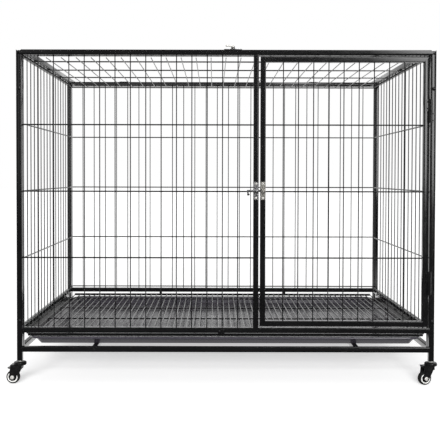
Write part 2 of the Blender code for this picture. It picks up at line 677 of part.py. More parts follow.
def build_latch(prefix, matrix, lever_angle, zinc):
    # Local X runs across the gap towards the keeper, Y away from the faces, Z along the gap
    housing = latch_plate(prefix + "_housing", zinc)
    half = LATCH_SLEEVE_LENGTH / 2
    sink = FIT + LATCH_PLATE / 2
    radius = LATCH_SLEEVE_RADIUS
    outline = [(radius, sink)] + arc((0, LATCH_AXIS), radius, 0, math.pi, 6) + [(-radius, sink)]
    points = [(-half, y, z) for z, y in outline]
    sleeve = add_object("sleeve", extrude_outline(points, (2 * half, 0, 0)), zinc)
    combine(housing, sleeve, "UNION")
    combine(housing, bolt_bore(-TUBE, TUBE, zinc), "DIFFERENCE")

    keeper = latch_plate(prefix + "_keeper", zinc)
    profile = [(0, -LATCH_BOSS_HEIGHT), (LATCH_BOSS_RADIUS, -LATCH_BOSS_HEIGHT),
               (LATCH_BOSS_RADIUS, -sink), (0, -sink)]
    boss = lathe(profile, 12)
    bmesh.ops.transform(boss, matrix=Matrix.Rotation(math.pi / 2, 4, "X"), verts=boss.verts)
    combine(keeper, add_object("boss", boss, zinc), "UNION")
    end = TUBE / 2 + PANEL_GAP - LATCH_BACK_OFF
    depth = end + LATCH_TRAVEL - LATCH_PITCH + LATCH_BACK_OFF
    combine(keeper, bolt_bore(-TUBE, depth, zinc), "DIFFERENCE")

    rod = lathe([(0, -LATCH_BOLT_TAIL), (LATCH_BOLT_RADIUS, -LATCH_BOLT_TAIL),
                 (LATCH_BOLT_RADIUS, end), (0, end)], 8)
    bmesh.ops.transform(rod, matrix=Matrix.Rotation(math.pi / 2, 4, "Y"), verts=rod.verts)
    bolt = add_object(prefix + "_bolt", rod, zinc)
    tip = LEVER_LENGTH + LEVER_KNOB_RADIUS
    profile = [(0, 0), (LEVER_RADIUS, 0), (LEVER_RADIUS, LEVER_LENGTH - LEVER_KNOB_RADIUS),
               (LEVER_KNOB_RADIUS, LEVER_LENGTH), (0.6 * LEVER_KNOB_RADIUS, tip), (0, tip)]
    lever = lathe(profile, 8)
    lean = Matrix.Rotation(-math.pi / 2 + lever_angle, 4, "X")
    shift = Matrix.Translation((LEVER_INSET - LATCH_BOLT_TAIL, 0, 0))
    bmesh.ops.transform(lever, matrix=shift @ lean, verts=lever.verts)
    combine(bolt, add_object("lever", lever, zinc), "UNION")

    for piece in (housing, keeper, bolt):
        smooth_faces(piece)
    put(housing, matrix)
    put(bolt, matrix @ Matrix.Translation((0, LATCH_AXIS, 0)))
    put(keeper, matrix @ Matrix.Translation((LATCH_PITCH, 0, 0)))
    return keeper


def drill_lock_hole(frame, material):
    hole = lathe([(0, -TUBE / 2), (LOCK_HOLE_RADIUS, -TUBE / 2), (LOCK_HOLE_RADIUS, TUBE / 2),
                  (0, TUBE / 2)], 8)
    bmesh.ops.transform(hole, matrix=Matrix.Rotation(math.pi / 2, 4, "X"), verts=hole.verts)
    tool = add_object("lock_hole", hole, material)
    tool.location = LOCK_POINT
    combine(frame, tool, "DIFFERENCE")


def build_grid_lock(black):
    # Turned aside at rest; its arm swings down in front of the floor grid
    outline = arc((0, 0), LOCK_RADIUS, math.pi / 2, 1.5 * math.pi, 8)
    outline += arc((LOCK_ARM - LOCK_RADIUS / 2, 0), LOCK_RADIUS, -0.4 * math.pi, 0.4 * math.pi, 4)
    points = [(x, 0, z) for x, z in outline]
    lock = add_object("grid_lock", extrude_outline(points, (0, -LOCK_SHEET, 0)), black)
    head = LOCK_SHEET + LOCK_HEAD_HEIGHT
    profile = [(0, head), (0.6 * LOCK_HEAD_RADIUS, head), (LOCK_HEAD_RADIUS, LOCK_SHEET / 2),
               (LOCK_SHANK_RADIUS, LOCK_SHEET / 2), (LOCK_SHANK_RADIUS, -TUBE / 2), (0, -TUBE / 2)]
    screw = lathe(profile, 8)
    bmesh.ops.transform(screw, matrix=Matrix.Rotation(math.pi / 2, 4, "X"), verts=screw.verts)
    combine(lock, add_object("screw", screw, black), "UNION")
    smooth_faces(lock)
    put(lock, Matrix.Translation(LOCK_POINT))


# Casters

def fork_outline():
    # Side view of a leg: round at the axle, wide under the swivel head
    eye = (CASTER_TRAIL, WHEEL_RADIUS)
    around = arc(eye, FORK_EYE_RADIUS, math.radians(205), math.radians(370), 7)
    shoulder = FORK_TOP - FORK_CROWN
    return [(-FORK_FRONT, FORK_TOP), (-FORK_FRONT, shoulder)] + around + [
        (FORK_BACK, shoulder - FORK_CROWN), (FORK_BACK, FORK_TOP)]


def build_fork(name, metal):
    # Local X is the way that the wheel trails, and the origin is on the floor under the stem
    points = [(x, -FORK_HALF, z) for x, z in fork_outline()]
    fork = add_object(name, extrude_outline(points, (0, 2 * FORK_HALF, 0)), metal)
    slot = bmesh.new()
    gap = FORK_HALF - FORK_SHEET
    add_box(slot, (-SWIVEL_RADIUS, -gap, 0), (2 * SWIVEL_RADIUS, gap, WHEEL_SLOT_TOP))
    combine(fork, add_object("slot", slot, metal), "DIFFERENCE")
    mouth = bmesh.new()
    add_box(mouth, (PEDAL_PIVOT - PEDAL_SHEET, -gap, WHEEL_SLOT_TOP - FORK_SHEET),
            (2 * SWIVEL_RADIUS, gap, LEG_END))
    combine(fork, add_object("mouth", mouth, metal), "DIFFERENCE")
    lip = 0.25 * SWIVEL_HEIGHT
    head = [(0, SWIVEL_BOTTOM), (SWIVEL_RADIUS - lip, SWIVEL_BOTTOM),
            (SWIVEL_RADIUS, SWIVEL_BOTTOM + lip), (SWIVEL_RADIUS, SWIVEL_TOP - lip),
            (SWIVEL_RADIUS - lip, SWIVEL_TOP), (0, SWIVEL_TOP)]
    combine(fork, add_object("head", lathe(head, 14), metal), "UNION")
    axle = FORK_HALF + AXLE_HEAD_HEIGHT
    profile = [(0, -axle), (AXLE_HEAD_RADIUS, -axle), (AXLE_HEAD_RADIUS, -FORK_HALF + FORK_SHEET / 2),
               (AXLE_RADIUS, -FORK_HALF + FORK_SHEET / 2), (AXLE_RADIUS, FORK_HALF - FORK_SHEET / 2),
               (AXLE_HEAD_RADIUS, FORK_HALF - FORK_SHEET / 2), (AXLE_HEAD_RADIUS, axle), (0, axle)]
    pin = lathe(profile, 8)
    bmesh.ops.transform(pin, matrix=Matrix.Rotation(math.pi / 2, 4, "X"), verts=pin.verts)
    bmesh.ops.translate(pin, vec=(CASTER_TRAIL, 0, WHEEL_RADIUS), verts=pin.verts)
    combine(fork, add_object("axle", pin, metal), "UNION")
    hole = STEM_PIN_RADIUS + RUNNING_CLEARANCE
    bore = lathe([(0, WHEEL_RADIUS), (hole, WHEEL_RADIUS), (hole, LEG_END), (0, LEG_END)], 8)
    combine(fork, add_object("bore", bore, metal), "DIFFERENCE")
    smooth_faces(fork)
    return fork


def build_stem(name, zinc):
    plug = LEG_END + STEM_PLUG_LENGTH
    collar = LEG_END - FIT
    profile = [(0, WHEEL_SLOT_TOP + FIT), (STEM_PIN_RADIUS, WHEEL_SLOT_TOP + FIT),
               (STEM_PIN_RADIUS, collar - COLLAR_HEIGHT), (COLLAR_RADIUS, collar - COLLAR_HEIGHT),
               (COLLAR_RADIUS, collar), (STEM_PLUG_RADIUS, collar), (STEM_PLUG_RADIUS, plug), (0, plug)]
    return add_object(name, lathe(profile, 8), zinc, smooth=True)


def build_wheel(core_name, tyre_name, grey, rubber):
    half = WHEEL_WIDTH / 2
    inner = CORE_RADIUS + FIT
    profile = [(inner, -half), (WHEEL_RADIUS - TYRE_ROUND, -half), (WHEEL_RADIUS, TYRE_ROUND - half),
               (WHEEL_RADIUS, half - TYRE_ROUND), (WHEEL_RADIUS - TYRE_ROUND, half), (inner, half)]
    tyre = add_object(tyre_name, lathe(profile, 16, math.pi / 16), rubber, smooth=True)
    bore = AXLE_RADIUS + RUNNING_CLEARANCE
    hub = AXLE_HEAD_RADIUS + RUNNING_CLEARANCE
    face = half - TYRE_ROUND / 2
    web = half - TYRE_ROUND
    profile = [(bore, -face), (hub, -face), (hub, -web), (CORE_RADIUS, -face), (CORE_RADIUS, face),
               (hub, web), (hub, face), (bore, face)]
    core = add_object(core_name, lathe(profile, 16, math.pi / 16), grey, smooth=True)
    for piece in (tyre, core):
        piece.data.transform(Matrix.Rotation(math.pi / 2, 4, "X"))
    return core, tyre


def build_pedal(name, raised, metal):
    # A bent plate between the fork's legs, with its origin on the pivot
    reach = PEDAL_REACH
    sheet = PEDAL_SHEET
    outline = [(0, -sheet / 2), (reach, -sheet / 2), (reach + PEDAL_TIP, PEDAL_TIP / 2),
               (reach + PEDAL_TIP, PEDAL_TIP / 2 + sheet), (reach, sheet / 2), (0, sheet / 2)]
    half = FORK_HALF - FORK_SHEET - FIT
    points = [(x, -half, z) for x, z in outline]
    pedal = add_object(name, extrude_outline(points, (0, 2 * half, 0)), metal)
    if raised:
        pedal.data.transform(Matrix.Rotation(-PEDAL_SWING, 4, "Y"))
    return pedal


def build_casters(black, grey, rubber, zinc):
    for place, (side, end, heading, brake) in CASTERS.items():
        stem = build_stem(place + "_caster_stem", zinc)
        fork = build_fork(place + "_caster_fork", black)
        core, tyre = build_wheel(place + "_wheel_core", place + "_wheel_tyre", grey, rubber)
        post = Vector((side * (SIDE - TUBE / 2), end * (CRATE_DEPTH / 2 - TUBE / 2), 0))
        swivel = Matrix.Translation(post) @ Matrix.Rotation(math.radians(heading), 4, "Z")
        put(stem, Matrix.Translation(post))
        put(fork, swivel)
        axle = swivel @ Matrix.Translation((CASTER_TRAIL, 0, WHEEL_RADIUS))
        put(core, axle)
        put(tyre, axle)
        spin = hang(place + "_axle", axle.to_translation(), [core, tyre])
        riders = [fork]
        if brake:
            pedal = build_pedal(place + "_brake_pedal", brake == "up", black)
            height = WHEEL_SLOT_TOP + PEDAL_SHEET
            put(pedal, swivel @ Matrix.Translation((PEDAL_PIVOT, 0, height)))
            riders.append(pedal)
        hang(place + "_swivel", post, riders + [spin])


def build_crate():
    clear_scene()
    black = finish("black powder coat", (0.012, 0.012, 0.013), 0.28, 0.0)
    wire = finish("black coated wire", (0.016, 0.016, 0.017), 0.35, 0.0)
    plastic = finish("black tray plastic", (0.030, 0.029, 0.033), 0.22, 0.0)
    zinc = finish("zinc plate", (0.56, 0.56, 0.54), 0.34, 1.0)
    cast = finish("black caster metal", (0.010, 0.010, 0.010), 0.40, 0.0)
    grey = finish("light wheel plastic", (0.72, 0.72, 0.70), 0.45, 0.0)
    rubber = finish("black tyre rubber", (0.014, 0.014, 0.014), 0.70, 0.0)

    build_frames(black)
    build_cross_tube("left_cross_tube", -CROSS_TUBE_X, black)
    build_cross_tube("right_cross_tube", CROSS_TUBE_X, black)
    build_corner_bolts(black)
    door_panel, lid_panel = build_wire_panels(wire)
    build_floor_grid(wire)
    build_ledges(black)
    build_tray(plastic)
    build_grid_lock(black)

    x_axis, y_axis, z_axis = Vector((1, 0, 0)), Vector((0, 1, 0)), Vector((0, 0, 1))
    door_pieces = [build_door_frame(black), door_panel]
    for level, height in zip(("lower", "upper"), DOOR_HINGE_HEIGHTS):
        place = basis(-x_axis, -y_axis, z_axis, DOOR_AXIS + z_axis * height)
        door_pieces.append(build_hinge(f"door_hinge_{level}_post_half",
                                       f"door_hinge_{level}_door_half", place, black))
    place = basis(x_axis, -y_axis, -z_axis, (CENTRE_POST_X, FRONT, DOOR_LATCH_HEIGHT))
    door_pieces.append(build_latch("door_latch", place, DOOR_LEVER_ANGLE, zinc))

    lid_pieces = [build_lid_frame(black), lid_panel]
    for side_name, side in (("left", -1), ("right", 1)):
        place = basis(z_axis, y_axis, -x_axis, LID_AXIS + x_axis * side * LID_HINGE_X)
        lid_pieces.append(build_hinge(f"lid_hinge_{side_name}_frame_half",
                                      f"lid_hinge_{side_name}_lid_half", place, black,
                                      LID_AXIS.y - LID_BACK + LID_LEAF_LAP))
    place = basis(y_axis, z_axis, x_axis, (LID_LATCH_X, FRONT + TUBE / 2, TOP))
    lid_pieces.append(build_latch("lid_latch", place, LID_LEVER_ANGLE, zinc))

    hang("door_hinge_axis", DOOR_AXIS, door_pieces)
    hang("lid_hinge_axis", LID_AXIS, lid_pieces)
    build_casters(cast, grey, rubber, zinc)


build_crate()
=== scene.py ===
import math
import bpy
import numpy as np
from mathutils import Matrix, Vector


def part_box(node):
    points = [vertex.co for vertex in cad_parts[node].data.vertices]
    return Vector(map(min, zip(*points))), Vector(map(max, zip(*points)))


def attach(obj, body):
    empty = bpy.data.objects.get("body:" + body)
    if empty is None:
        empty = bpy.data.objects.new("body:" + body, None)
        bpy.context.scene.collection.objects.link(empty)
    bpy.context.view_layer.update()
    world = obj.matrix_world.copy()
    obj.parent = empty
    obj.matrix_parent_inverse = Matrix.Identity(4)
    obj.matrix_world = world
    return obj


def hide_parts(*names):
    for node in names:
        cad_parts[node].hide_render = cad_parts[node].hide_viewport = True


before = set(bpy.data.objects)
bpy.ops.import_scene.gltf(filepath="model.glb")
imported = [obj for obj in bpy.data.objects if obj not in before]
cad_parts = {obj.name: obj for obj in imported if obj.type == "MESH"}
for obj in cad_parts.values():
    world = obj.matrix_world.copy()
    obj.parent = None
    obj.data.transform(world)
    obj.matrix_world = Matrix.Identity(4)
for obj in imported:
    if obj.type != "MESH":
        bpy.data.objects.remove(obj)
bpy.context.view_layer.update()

# Small helpers for surfaces


def unit(vector):
    vector = np.asarray(vector, float)
    return vector / np.linalg.norm(vector)


def unitRows(vectors):
    return vectors / np.linalg.norm(vectors, axis=1, keepdims=True)


def rectangle(x0, y0, x1, y1):
    return np.array([(x0, y0), (x1, y0), (x1, y1), (x0, y1)], float)


# Points at x + r cos(a), y + r sin(a)
def arc(radius, angle, x=0.0, y=0.0):
    return np.stack([x + radius * np.cos(angle), y + radius * np.sin(angle)], 1)


def circlePoints(around):
    return arc(1, np.arange(around) * math.tau / around)


# Axes turned round Z
def turnedAxes(angle):
    c, s = math.cos(angle), math.sin(angle)
    return np.array([[c, s, 0], [-s, c, 0], [0, 0, 1]])


# A corner becomes a Bezier arc: (1-t)^2 A + 2t(1-t) P + t^2 B, where A and B lie on the two
# edges at the given distance from the corner P
def softOutline(points, radius, steps=3):
    points = np.asarray(points, float)
    back = np.roll(points, 1, 0) - points
    ahead = np.roll(points, -1, 0) - points
    backLength = np.linalg.norm(back, axis=1, keepdims=True)
    aheadLength = np.linalg.norm(ahead, axis=1, keepdims=True)
    a = points + back / backLength * np.minimum(radius, 0.48 * backLength)
    b = points + ahead / aheadLength * np.minimum(radius, 0.48 * aheadLength)
    t = np.linspace(0, 1, steps + 1)[None, :, None]
    curve = (1 - t) ** 2 * a[:, None] + 2 * t * (1 - t) * points[:, None] + t ** 2 * b[:, None]
    return curve.reshape(-1, 2)


# Each point moves inwards along the mean normal of its two edges, further at a sharp corner
def insetOutline(outline, amount):
    ahead = unitRows(np.roll(outline, -1, 0) - outline)
    behind = np.roll(ahead, 1, 0)
    normal = np.stack([ahead[:, 1] + behind[:, 1], -ahead[:, 0] - behind[:, 0]], 1)
    normal = normal / np.maximum(np.linalg.norm(normal, axis=1, keepdims=True), 1e-9)
    edgeNormal = np.stack([ahead[:, 1], -ahead[:, 0]], 1)
    lean = np.maximum((normal * edgeNormal).sum(1, keepdims=True), 0.6)
    return outline - amount * normal / lean


# Point j of ring i joins point j+1, and both join the same two points of ring i+1
def gridFaces(rings, around, loop=False):
    here = np.arange(around)[None, :]
    after = (here + 1) % around
    ring = np.arange(rings if loop else rings - 1)[:, None] * around
    above = (ring + around) % (rings * around)
    return np.stack([ring + here, ring + after, above + after, above + here], -1).reshape(-1, 4)


# Rings of points joined into one closed skin, with flat ends or the last ring on the first
def loft(rings, loop=False):
    rings = np.asarray(rings, float)
    count, around = rings.shape[:2]
    faces = gridFaces(count, around, loop).tolist()
    if not loop:
        faces += [list(range(around))[::-1], list(range((count - 1) * around, count * around))]
    return rings.reshape(-1, 3), faces


# The profile's (radius, height) points go round the Z axis: x = r cos(a), y = r sin(a)
def turned(profile, around=32, loop=False):
    profile = np.asarray(profile, float)
    rings = np.concatenate([profile[:, :1, None] * circlePoints(around)[None],
                            np.broadcast_to(profile[:, 1:, None], (len(profile), around, 1))], 2)
    return loft(rings, loop)


# The outline stands at four levels: inset by the bevel, full, full, and inset again
def bevelledPlate(outline, bottom, top, bevel):
    inner = insetOutline(outline, bevel)
    levels = [(inner, bottom), (outline, bottom + bevel), (outline, top - bevel), (inner, top)]
    return loft([np.column_stack([ring, np.full(len(ring), height)]) for ring, height in levels])


# A circle is carried along a path; its two directions at each point come from the path's
# tangent T and a fixed vector N: side = T x N, and lift = side x T
def tubeAlong(path, radius, fixed, around=16):
    tangent = unitRows(np.gradient(path, axis=0))
    side = unitRows(np.cross(tangent, fixed))
    lift = np.cross(side, tangent)
    cosines, sines = circlePoints(around).T[:, None, :, None]
    circle = cosines * side[:, None] - sines * lift[:, None]
    return loft(path[:, None] + radius[:, None, None] * circle)


def join(shapes):
    points, faces, start = [], [], 0
    for shape in shapes:
        points.append(shape[0])
        faces += [[corner + start for corner in face] for face in shape[1]]
        start += len(shape[0])
    return np.concatenate(points), faces


# axes holds the world directions of local x, y and z, one on each row
def placed(shape, axes, origin=(0, 0, 0)):
    return shape[0] @ np.asarray(axes, float) + np.asarray(origin, float), shape[1]


def shifted(shape, by):
    return shape[0] + np.asarray(by, float), shape[1]


def addObject(name, data):
    added = bpy.data.objects.new(name, data)
    bpy.context.scene.collection.objects.link(added)
    return added


sharpAngle = 35  # degrees between two faces, past which their edge is drawn sharp


def makePiece(name, shape, material, body, replaced=()):
    mesh = bpy.data.meshes.new(name)
    mesh.from_pydata(shape[0], [], shape[1])
    mesh.materials.append(material)
    mesh.shade_smooth()
    mesh.set_sharp_from_angle(angle=math.radians(sharpAngle))
    piece = addObject(name, mesh)
    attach(piece, body)
    if replaced:
        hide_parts(*replaced)


# World directions of local x, y and z, named after the side that local z points to
toFront = [[1, 0, 0], [0, 0, 1], [0, -1, 0]]
toBack = [[-1, 0, 0], [0, 0, 1], [0, 1, 0]]
toBackTurned = [[1, 0, 0], [0, 0, -1], [0, 1, 0]]
toRight = [[0, 1, 0], [0, 0, 1], [1, 0, 0]]

# Shader groups shared by the materials


# Each input takes a plain value or another node's output
def feed(tree, node, inputs):
    for label, value in inputs.items():
        if isinstance(value, bpy.types.NodeSocket):
            tree.links.new(value, node.inputs[label])
        else:
            node.inputs[label].default_value = value
    return node


def addNode(tree, kind, inputs=None, **settings):
    node = tree.nodes.new(kind)
    for key, value in settings.items():
        setattr(node, key, value)
    return feed(tree, node, inputs or {})


def mathValue(tree, operation, first, second):
    return addNode(tree, "ShaderNodeMath", {0: first, 1: second}, operation=operation).outputs[0]


def product(tree, first, second):
    return mathValue(tree, "MULTIPLY", first, second)


# low goes to toLow and high to toHigh
def rangeValue(tree, value, low, high, toLow=0.0, toHigh=1.0):
    ends = {"Value": value, "From Min": low, "From Max": high, "To Min": toLow, "To Max": toHigh}
    return addNode(tree, "ShaderNodeMapRange", ends).outputs["Result"]


# first (1 - factor) + second factor
def mixValue(tree, kind, factor, first, second):
    inputs = {"Factor": factor, "A": first, "B": second}
    return addNode(tree, "ShaderNodeMix", inputs, data_type=kind).outputs["Result"]


def noiseValue(tree, scale, detail, roughness=0.5):
    place = addNode(tree, "ShaderNodeTexCoord").outputs["Object"]
    inputs = {"Vector": place, "Scale": scale, "Detail": detail, "Roughness": roughness}
    return addNode(tree, "ShaderNodeTexNoise", inputs).outputs["Fac"]


def splitVector(tree, vector):
    return addNode(tree, "ShaderNodeSeparateXYZ", {0: vector}).outputs


def mottle(tree, given):
    # Soft blotches between a low and a high value
    noise = noiseValue(tree, given["Scale"], 4.0, 0.6)
    return rangeValue(tree, noise, 0.3, 0.7, given["Low"], given["High"])


def grain(tree, given):
    # Height of a fine, slightly lumpy skin: two sizes of noise added
    fine = noiseValue(tree, given["Scale"], 2.0)
    broad = noiseValue(tree, product(tree, given["Scale"], 0.22), 1.0)
    return product(tree, mathValue(tree, "ADD", fine, broad), given["Amount"])


def edgeWear(tree, given):
    # A mask that is bright on sharp outer edges and broken up by noise
    pointed = addNode(tree, "ShaderNodeNewGeometry").outputs["Pointiness"]
    edge = rangeValue(tree, pointed, 0.53, 0.62)
    patch = rangeValue(tree, noiseValue(tree, given["Scale"], 6.0, 0.7), 0.48, 0.66)
    return product(tree, product(tree, edge, patch), given["Amount"])


def dust(tree, given):
    # A mask for the faint dust that settles on faces that look up
    normal = addNode(tree, "ShaderNodeNewGeometry").outputs["Normal"]
    up = rangeValue(tree, splitVector(tree, normal)["Z"], 0.6, 1.0)
    patch = rangeValue(tree, noiseValue(tree, given["Scale"], 5.0, 0.65), 0.35, 0.75)
    return product(tree, product(tree, up, patch), given["Amount"])


def newGroup(name, build, output, **inputs):
    group = bpy.data.node_groups.new(name, "ShaderNodeTree")
    for label, value in inputs.items():
        socket = group.interface.new_socket(label, in_out="INPUT", socket_type="NodeSocketFloat")
        socket.default_value = value
    group.interface.new_socket(output, in_out="OUTPUT", socket_type="NodeSocketFloat")
    given = group.nodes.new("NodeGroupInput").outputs
    addNode(group, "NodeGroupOutput", {output: build(group, given)})
    return group


groups = {"mottle": newGroup("mottle", mottle, "Value", Scale=20.0, Low=0.0, High=1.0),
          "grain": newGroup("grain", grain, "Height", Scale=600.0, Amount=1.0),
          "edgeWear": newGroup("edgeWear", edgeWear, "Mask", Scale=90.0, Amount=1.0),
          "dust": newGroup("dust", dust, "Mask", Scale=14.0, Amount=0.1)}


def useGroup(tree, name, **values):
    return addNode(tree, "ShaderNodeGroup", values, node_tree=groups[name]).outputs[0]


# One number stands for a grey
def rgba(colour):
    return (*np.broadcast_to(colour, 3).tolist(), 1)


dustColour = (0.30, 0.29, 0.27)
plainLook = {"worn": 0.02, "dust": 0.0, "metallic": 0.0, "specular": 0.5, "bump": 0.02,
             "bumpHeight": 0.0002}
metalLook = {"wear": 0.6, "dust": 0.02, "patchScale": 160.0, "grainScale": 1500.0, "bump": 0.10}


def makeMaterial(name, look):
    # Base colour goes to the worn colour at edges and to grey where dust lies
    look = {**plainLook, **look}
    material = bpy.data.materials.new(name)
    material.use_nodes = True
    tree = material.node_tree
    scale, (low, high) = look["patchScale"], look["roughness"]
    colour = mixValue(tree, "RGBA", useGroup(tree, "mottle", Scale=scale, Low=0.0, High=1.0),
                      rgba(look["colour"]), rgba(look["second"]))
    colour = mixValue(tree, "RGBA", useGroup(tree, "edgeWear", Amount=look["wear"]), colour,
                      rgba(look["worn"]))
    colour = mixValue(tree, "RGBA", useGroup(tree, "dust", Amount=look["dust"]), colour,
                      rgba(dustColour))
    bump = addNode(tree, "ShaderNodeBump", {
        "Strength": look["bump"], "Distance": look["bumpHeight"],
        "Height": useGroup(tree, "grain", Scale=look["grainScale"])})
    feed(tree, tree.nodes["Principled BSDF"], {
        "Metallic": look["metallic"], "Specular IOR Level": look["specular"],
        "Base Color": colour, "Normal": bump.outputs["Normal"],
        "Roughness": useGroup(tree, "mottle", Scale=scale * 2, Low=low, High=high)})
    return material


looks = {
    "powderCoat": {"colour": (0.0040, 0.0040, 0.0042), "second": (0.0060, 0.0060, 0.0062),
                   "wear": 0.1, "roughness": (0.11, 0.16), "patchScale": 9.0,
                   "grainScale": 420.0},
    # Painted shade: the wire coat, darker and less reflective than the same coat on the lid wires
    # and floor grid, so these wires read darker
    "shadedWireCoat": {"colour": (0.0035, 0.0035, 0.0037), "second": (0.0055, 0.0055, 0.0058),
                 "wear": 0.05, "roughness": (0.16, 0.22), "patchScale": 14.0,
                 "grainScale": 700.0, "bumpHeight": 0.0001, "specular": 0.22},
    # Painted light: a lit copy of the same wire coat, lighter and more reflective, so the lid
    # wires and floor grid carry brighter highlights
    "litWireCoat": {"colour": (0.0045, 0.0045, 0.0048), "second": (0.0070, 0.0070, 0.0073),
                 "wear": 0.05, "dust": 0.01, "roughness": (0.12, 0.18), "patchScale": 14.0,
                 "grainScale": 700.0, "bumpHeight": 0.0001, "specular": 0.75},
    "trayPlastic": {"colour": (0.034, 0.031, 0.040), "second": (0.042, 0.039, 0.048),
                    "worn": 0.08, "wear": 0.2, "dust": 0.02, "roughness": (0.16, 0.24),
                    "patchScale": 6.0, "grainScale": 520.0, "bump": 0.08, "bumpHeight": 0.0004},
    "zincPlate": {**metalLook, "colour": (0.40, 0.39, 0.35), "second": (0.30, 0.29, 0.27),
                  "worn": (0.62, 0.61, 0.58), "metallic": 0.85, "roughness": (0.26, 0.42)},
    "greySteel": {**metalLook, "colour": (0.40, 0.40, 0.41), "second": (0.30, 0.30, 0.31),
                  "worn": 0.62, "metallic": 0.92, "roughness": (0.22, 0.36)},
    "darkSteel": {**metalLook, "colour": (0.14, 0.14, 0.145), "second": (0.09, 0.09, 0.095),
                  "worn": 0.45, "wear": 0.4, "dust": 0.0, "metallic": 0.9,
                  "roughness": (0.20, 0.32), "bump": 0.06},
    "brightScrew": {"colour": (0.78, 0.77, 0.73), "second": (0.66, 0.65, 0.62),
                    "worn": (0.85, 0.84, 0.82), "wear": 0.5, "metallic": 0.5,
                    "roughness": (0.20, 0.32), "patchScale": 200.0, "grainScale": 1800.0,
                    "bump": 0.06},
    "casterPaint": {"colour": 0.0045, "second": 0.0075, "worn": 0.08, "wear": 0.35, "dust": 0.01,
                    "roughness": (0.16, 0.24), "patchScale": 60.0, "grainScale": 900.0,
                    "bump": 0.05, "bumpHeight": 0.0003, "specular": 0.3},
    "hubPlastic": {"colour": (0.74, 0.74, 0.72), "second": (0.68, 0.68, 0.66),
                   "worn": (0.78, 0.78, 0.76), "wear": 0.2, "dust": 0.02,
                   "roughness": (0.38, 0.52), "patchScale": 80.0, "grainScale": 1500.0,
                   "bump": 0.08},
    "tyreRubber": {"colour": 0.008, "second": (0.014, 0.014, 0.013), "worn": 0.05, "wear": 0.5,
                   "dust": 0.03, "roughness": (0.55, 0.75), "patchScale": 120.0,
                   "grainScale": 1200.0, "bump": 0.3, "bumpHeight": 0.0003},
}
materials = {name: makeMaterial(name, look) for name, look in looks.items()}
print("materials made:", len(materials))

# Frames of square tube

tube = {"size": 0.016, "corner": 0.0024, "steps": 3, "sink": 0.0021, "groove": 0.0003,
        "bottomRailUnder": 0.1545, "centrePost": 0.090}
tubeHalf = tube["size"] / 2
low, high = map(np.array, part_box("front_frame"))
lowSide, highSide = map(np.array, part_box("left_side_frame"))
legEnd, topEdge = low[2], high[2]
lowerRail = lowSide[2] + tubeHalf
bottomRail = tube["bottomRailUnder"] + tubeHalf
topRail = topEdge - tubeHalf
postX = high[0] - tubeHalf
innerX = high[0] - tube["size"]
centrePost = tube["centrePost"]


# The round-cornered section goes from start to end, along t; a mitred end adds the point's
# own distance from the middle line to t, and each end is drawn in a little
def tubeBar(start, end, side, mitreStart=0, mitreEnd=0):
    start, end, side = (np.asarray(value, float) for value in (start, end, side))
    along = unit(end - start)
    half = tubeHalf
    square = [(half, -half), (half, half), (-half, half), (-half, -half)]
    section = softOutline(square, tube["corner"], tube["steps"])
    small = insetOutline(section, tube["groove"])
    depth = np.cross(along, side)

    def ring(points, at, mitre, shift):
        return at + points[:, :1] * side + points[:, 1:] * depth + along * (
            mitre * points[:, :1] + shift)

    groove = tube["groove"]
    return loft([ring(small, start, mitreStart, 0), ring(section, start, mitreStart, groove),
                 ring(section, end, mitreEnd, -groove), ring(small, end, mitreEnd, 0)])


# Four bars round a rectangle, mitred where they meet; u and v are the rectangle's directions
def mitredFrame(corners, u, v):
    (u0, v0), (u1, v1) = corners
    u, v = np.asarray(u, float), np.asarray(v, float)
    points = [u * a + v * b for a, b in ((u0, v0), (u1, v0), (u1, v1), (u0, v1))]
    return [tubeBar(points[number], points[(number + 1) % 4], inwards, 1, -1)
            for number, inwards in enumerate((v, -u, -v, u))]


# Two posts mitred into the top rail; the other bars are let into what they meet
def endFrame(y, middlePost):
    reach = innerX + tube["sink"]
    bars = [tubeBar((x, 0, legEnd), (x, 0, topRail), (inwards, 0, 0), 0, -1)
            for x, inwards in ((-postX, 1), (postX, -1))]
    bars.append(tubeBar((-postX, 0, topRail), (postX, 0, topRail), (0, 0, -1), -1, 1))
    for height in (lowerRail, bottomRail):
        bars.append(tubeBar((-reach, 0, height), (reach, 0, height), (0, 0, 1)))
    if middlePost:
        foot = bottomRail + tubeHalf - tube["sink"]
        head = topEdge - tube["size"] + tube["sink"]
        bars.append(tubeBar((centrePost, 0, foot), (centrePost, 0, head), (1, 0, 0)))
    return shifted(join(bars), (0, y, 0))


# A mitred rectangle with one more rail let into it
def sideFrame(x):
    first, last = lowSide[1] + tubeHalf, highSide[1] - tubeHalf
    bars = mitredFrame(((first, lowerRail), (last, topRail)), (0, 1, 0), (0, 0, 1))
    edge = tubeHalf - tube["sink"]
    bars.append(tubeBar((0, first + edge, bottomRail), (0, last - edge, bottomRail), (0, 0, 1)))
    return shifted(join(bars), (x, 0, 0))


paint = materials["powderCoat"]


def paintedPiece(name, shape, replaced=(), body="crate"):
    makePiece(name, shape, paint, body, replaced)


frontY = low[1] + tubeHalf
paintedPiece("front_tube_frame", endFrame(frontY, True), ["front_frame"])
paintedPiece("back_tube_frame", endFrame(-frontY, False), ["back_frame"])
paintedPiece("left_tube_frame", sideFrame(-postX), ["left_side_frame"])
paintedPiece("right_tube_frame", sideFrame(postX), ["right_side_frame"])


def panelFrame(name, node, body, u, v, flat):
    lowest, highest = map(np.array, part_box(node))
    corners = [(corner @ np.array(u) + inwards, corner @ np.array(v) + inwards)
               for corner, inwards in ((lowest, tubeHalf), (highest, -tubeHalf))]
    bars = mitredFrame(corners, u, v)
    middle = (lowest + highest) / 2 * np.array(flat)
    paintedPiece(name, shifted(join(bars), middle), [node], body)


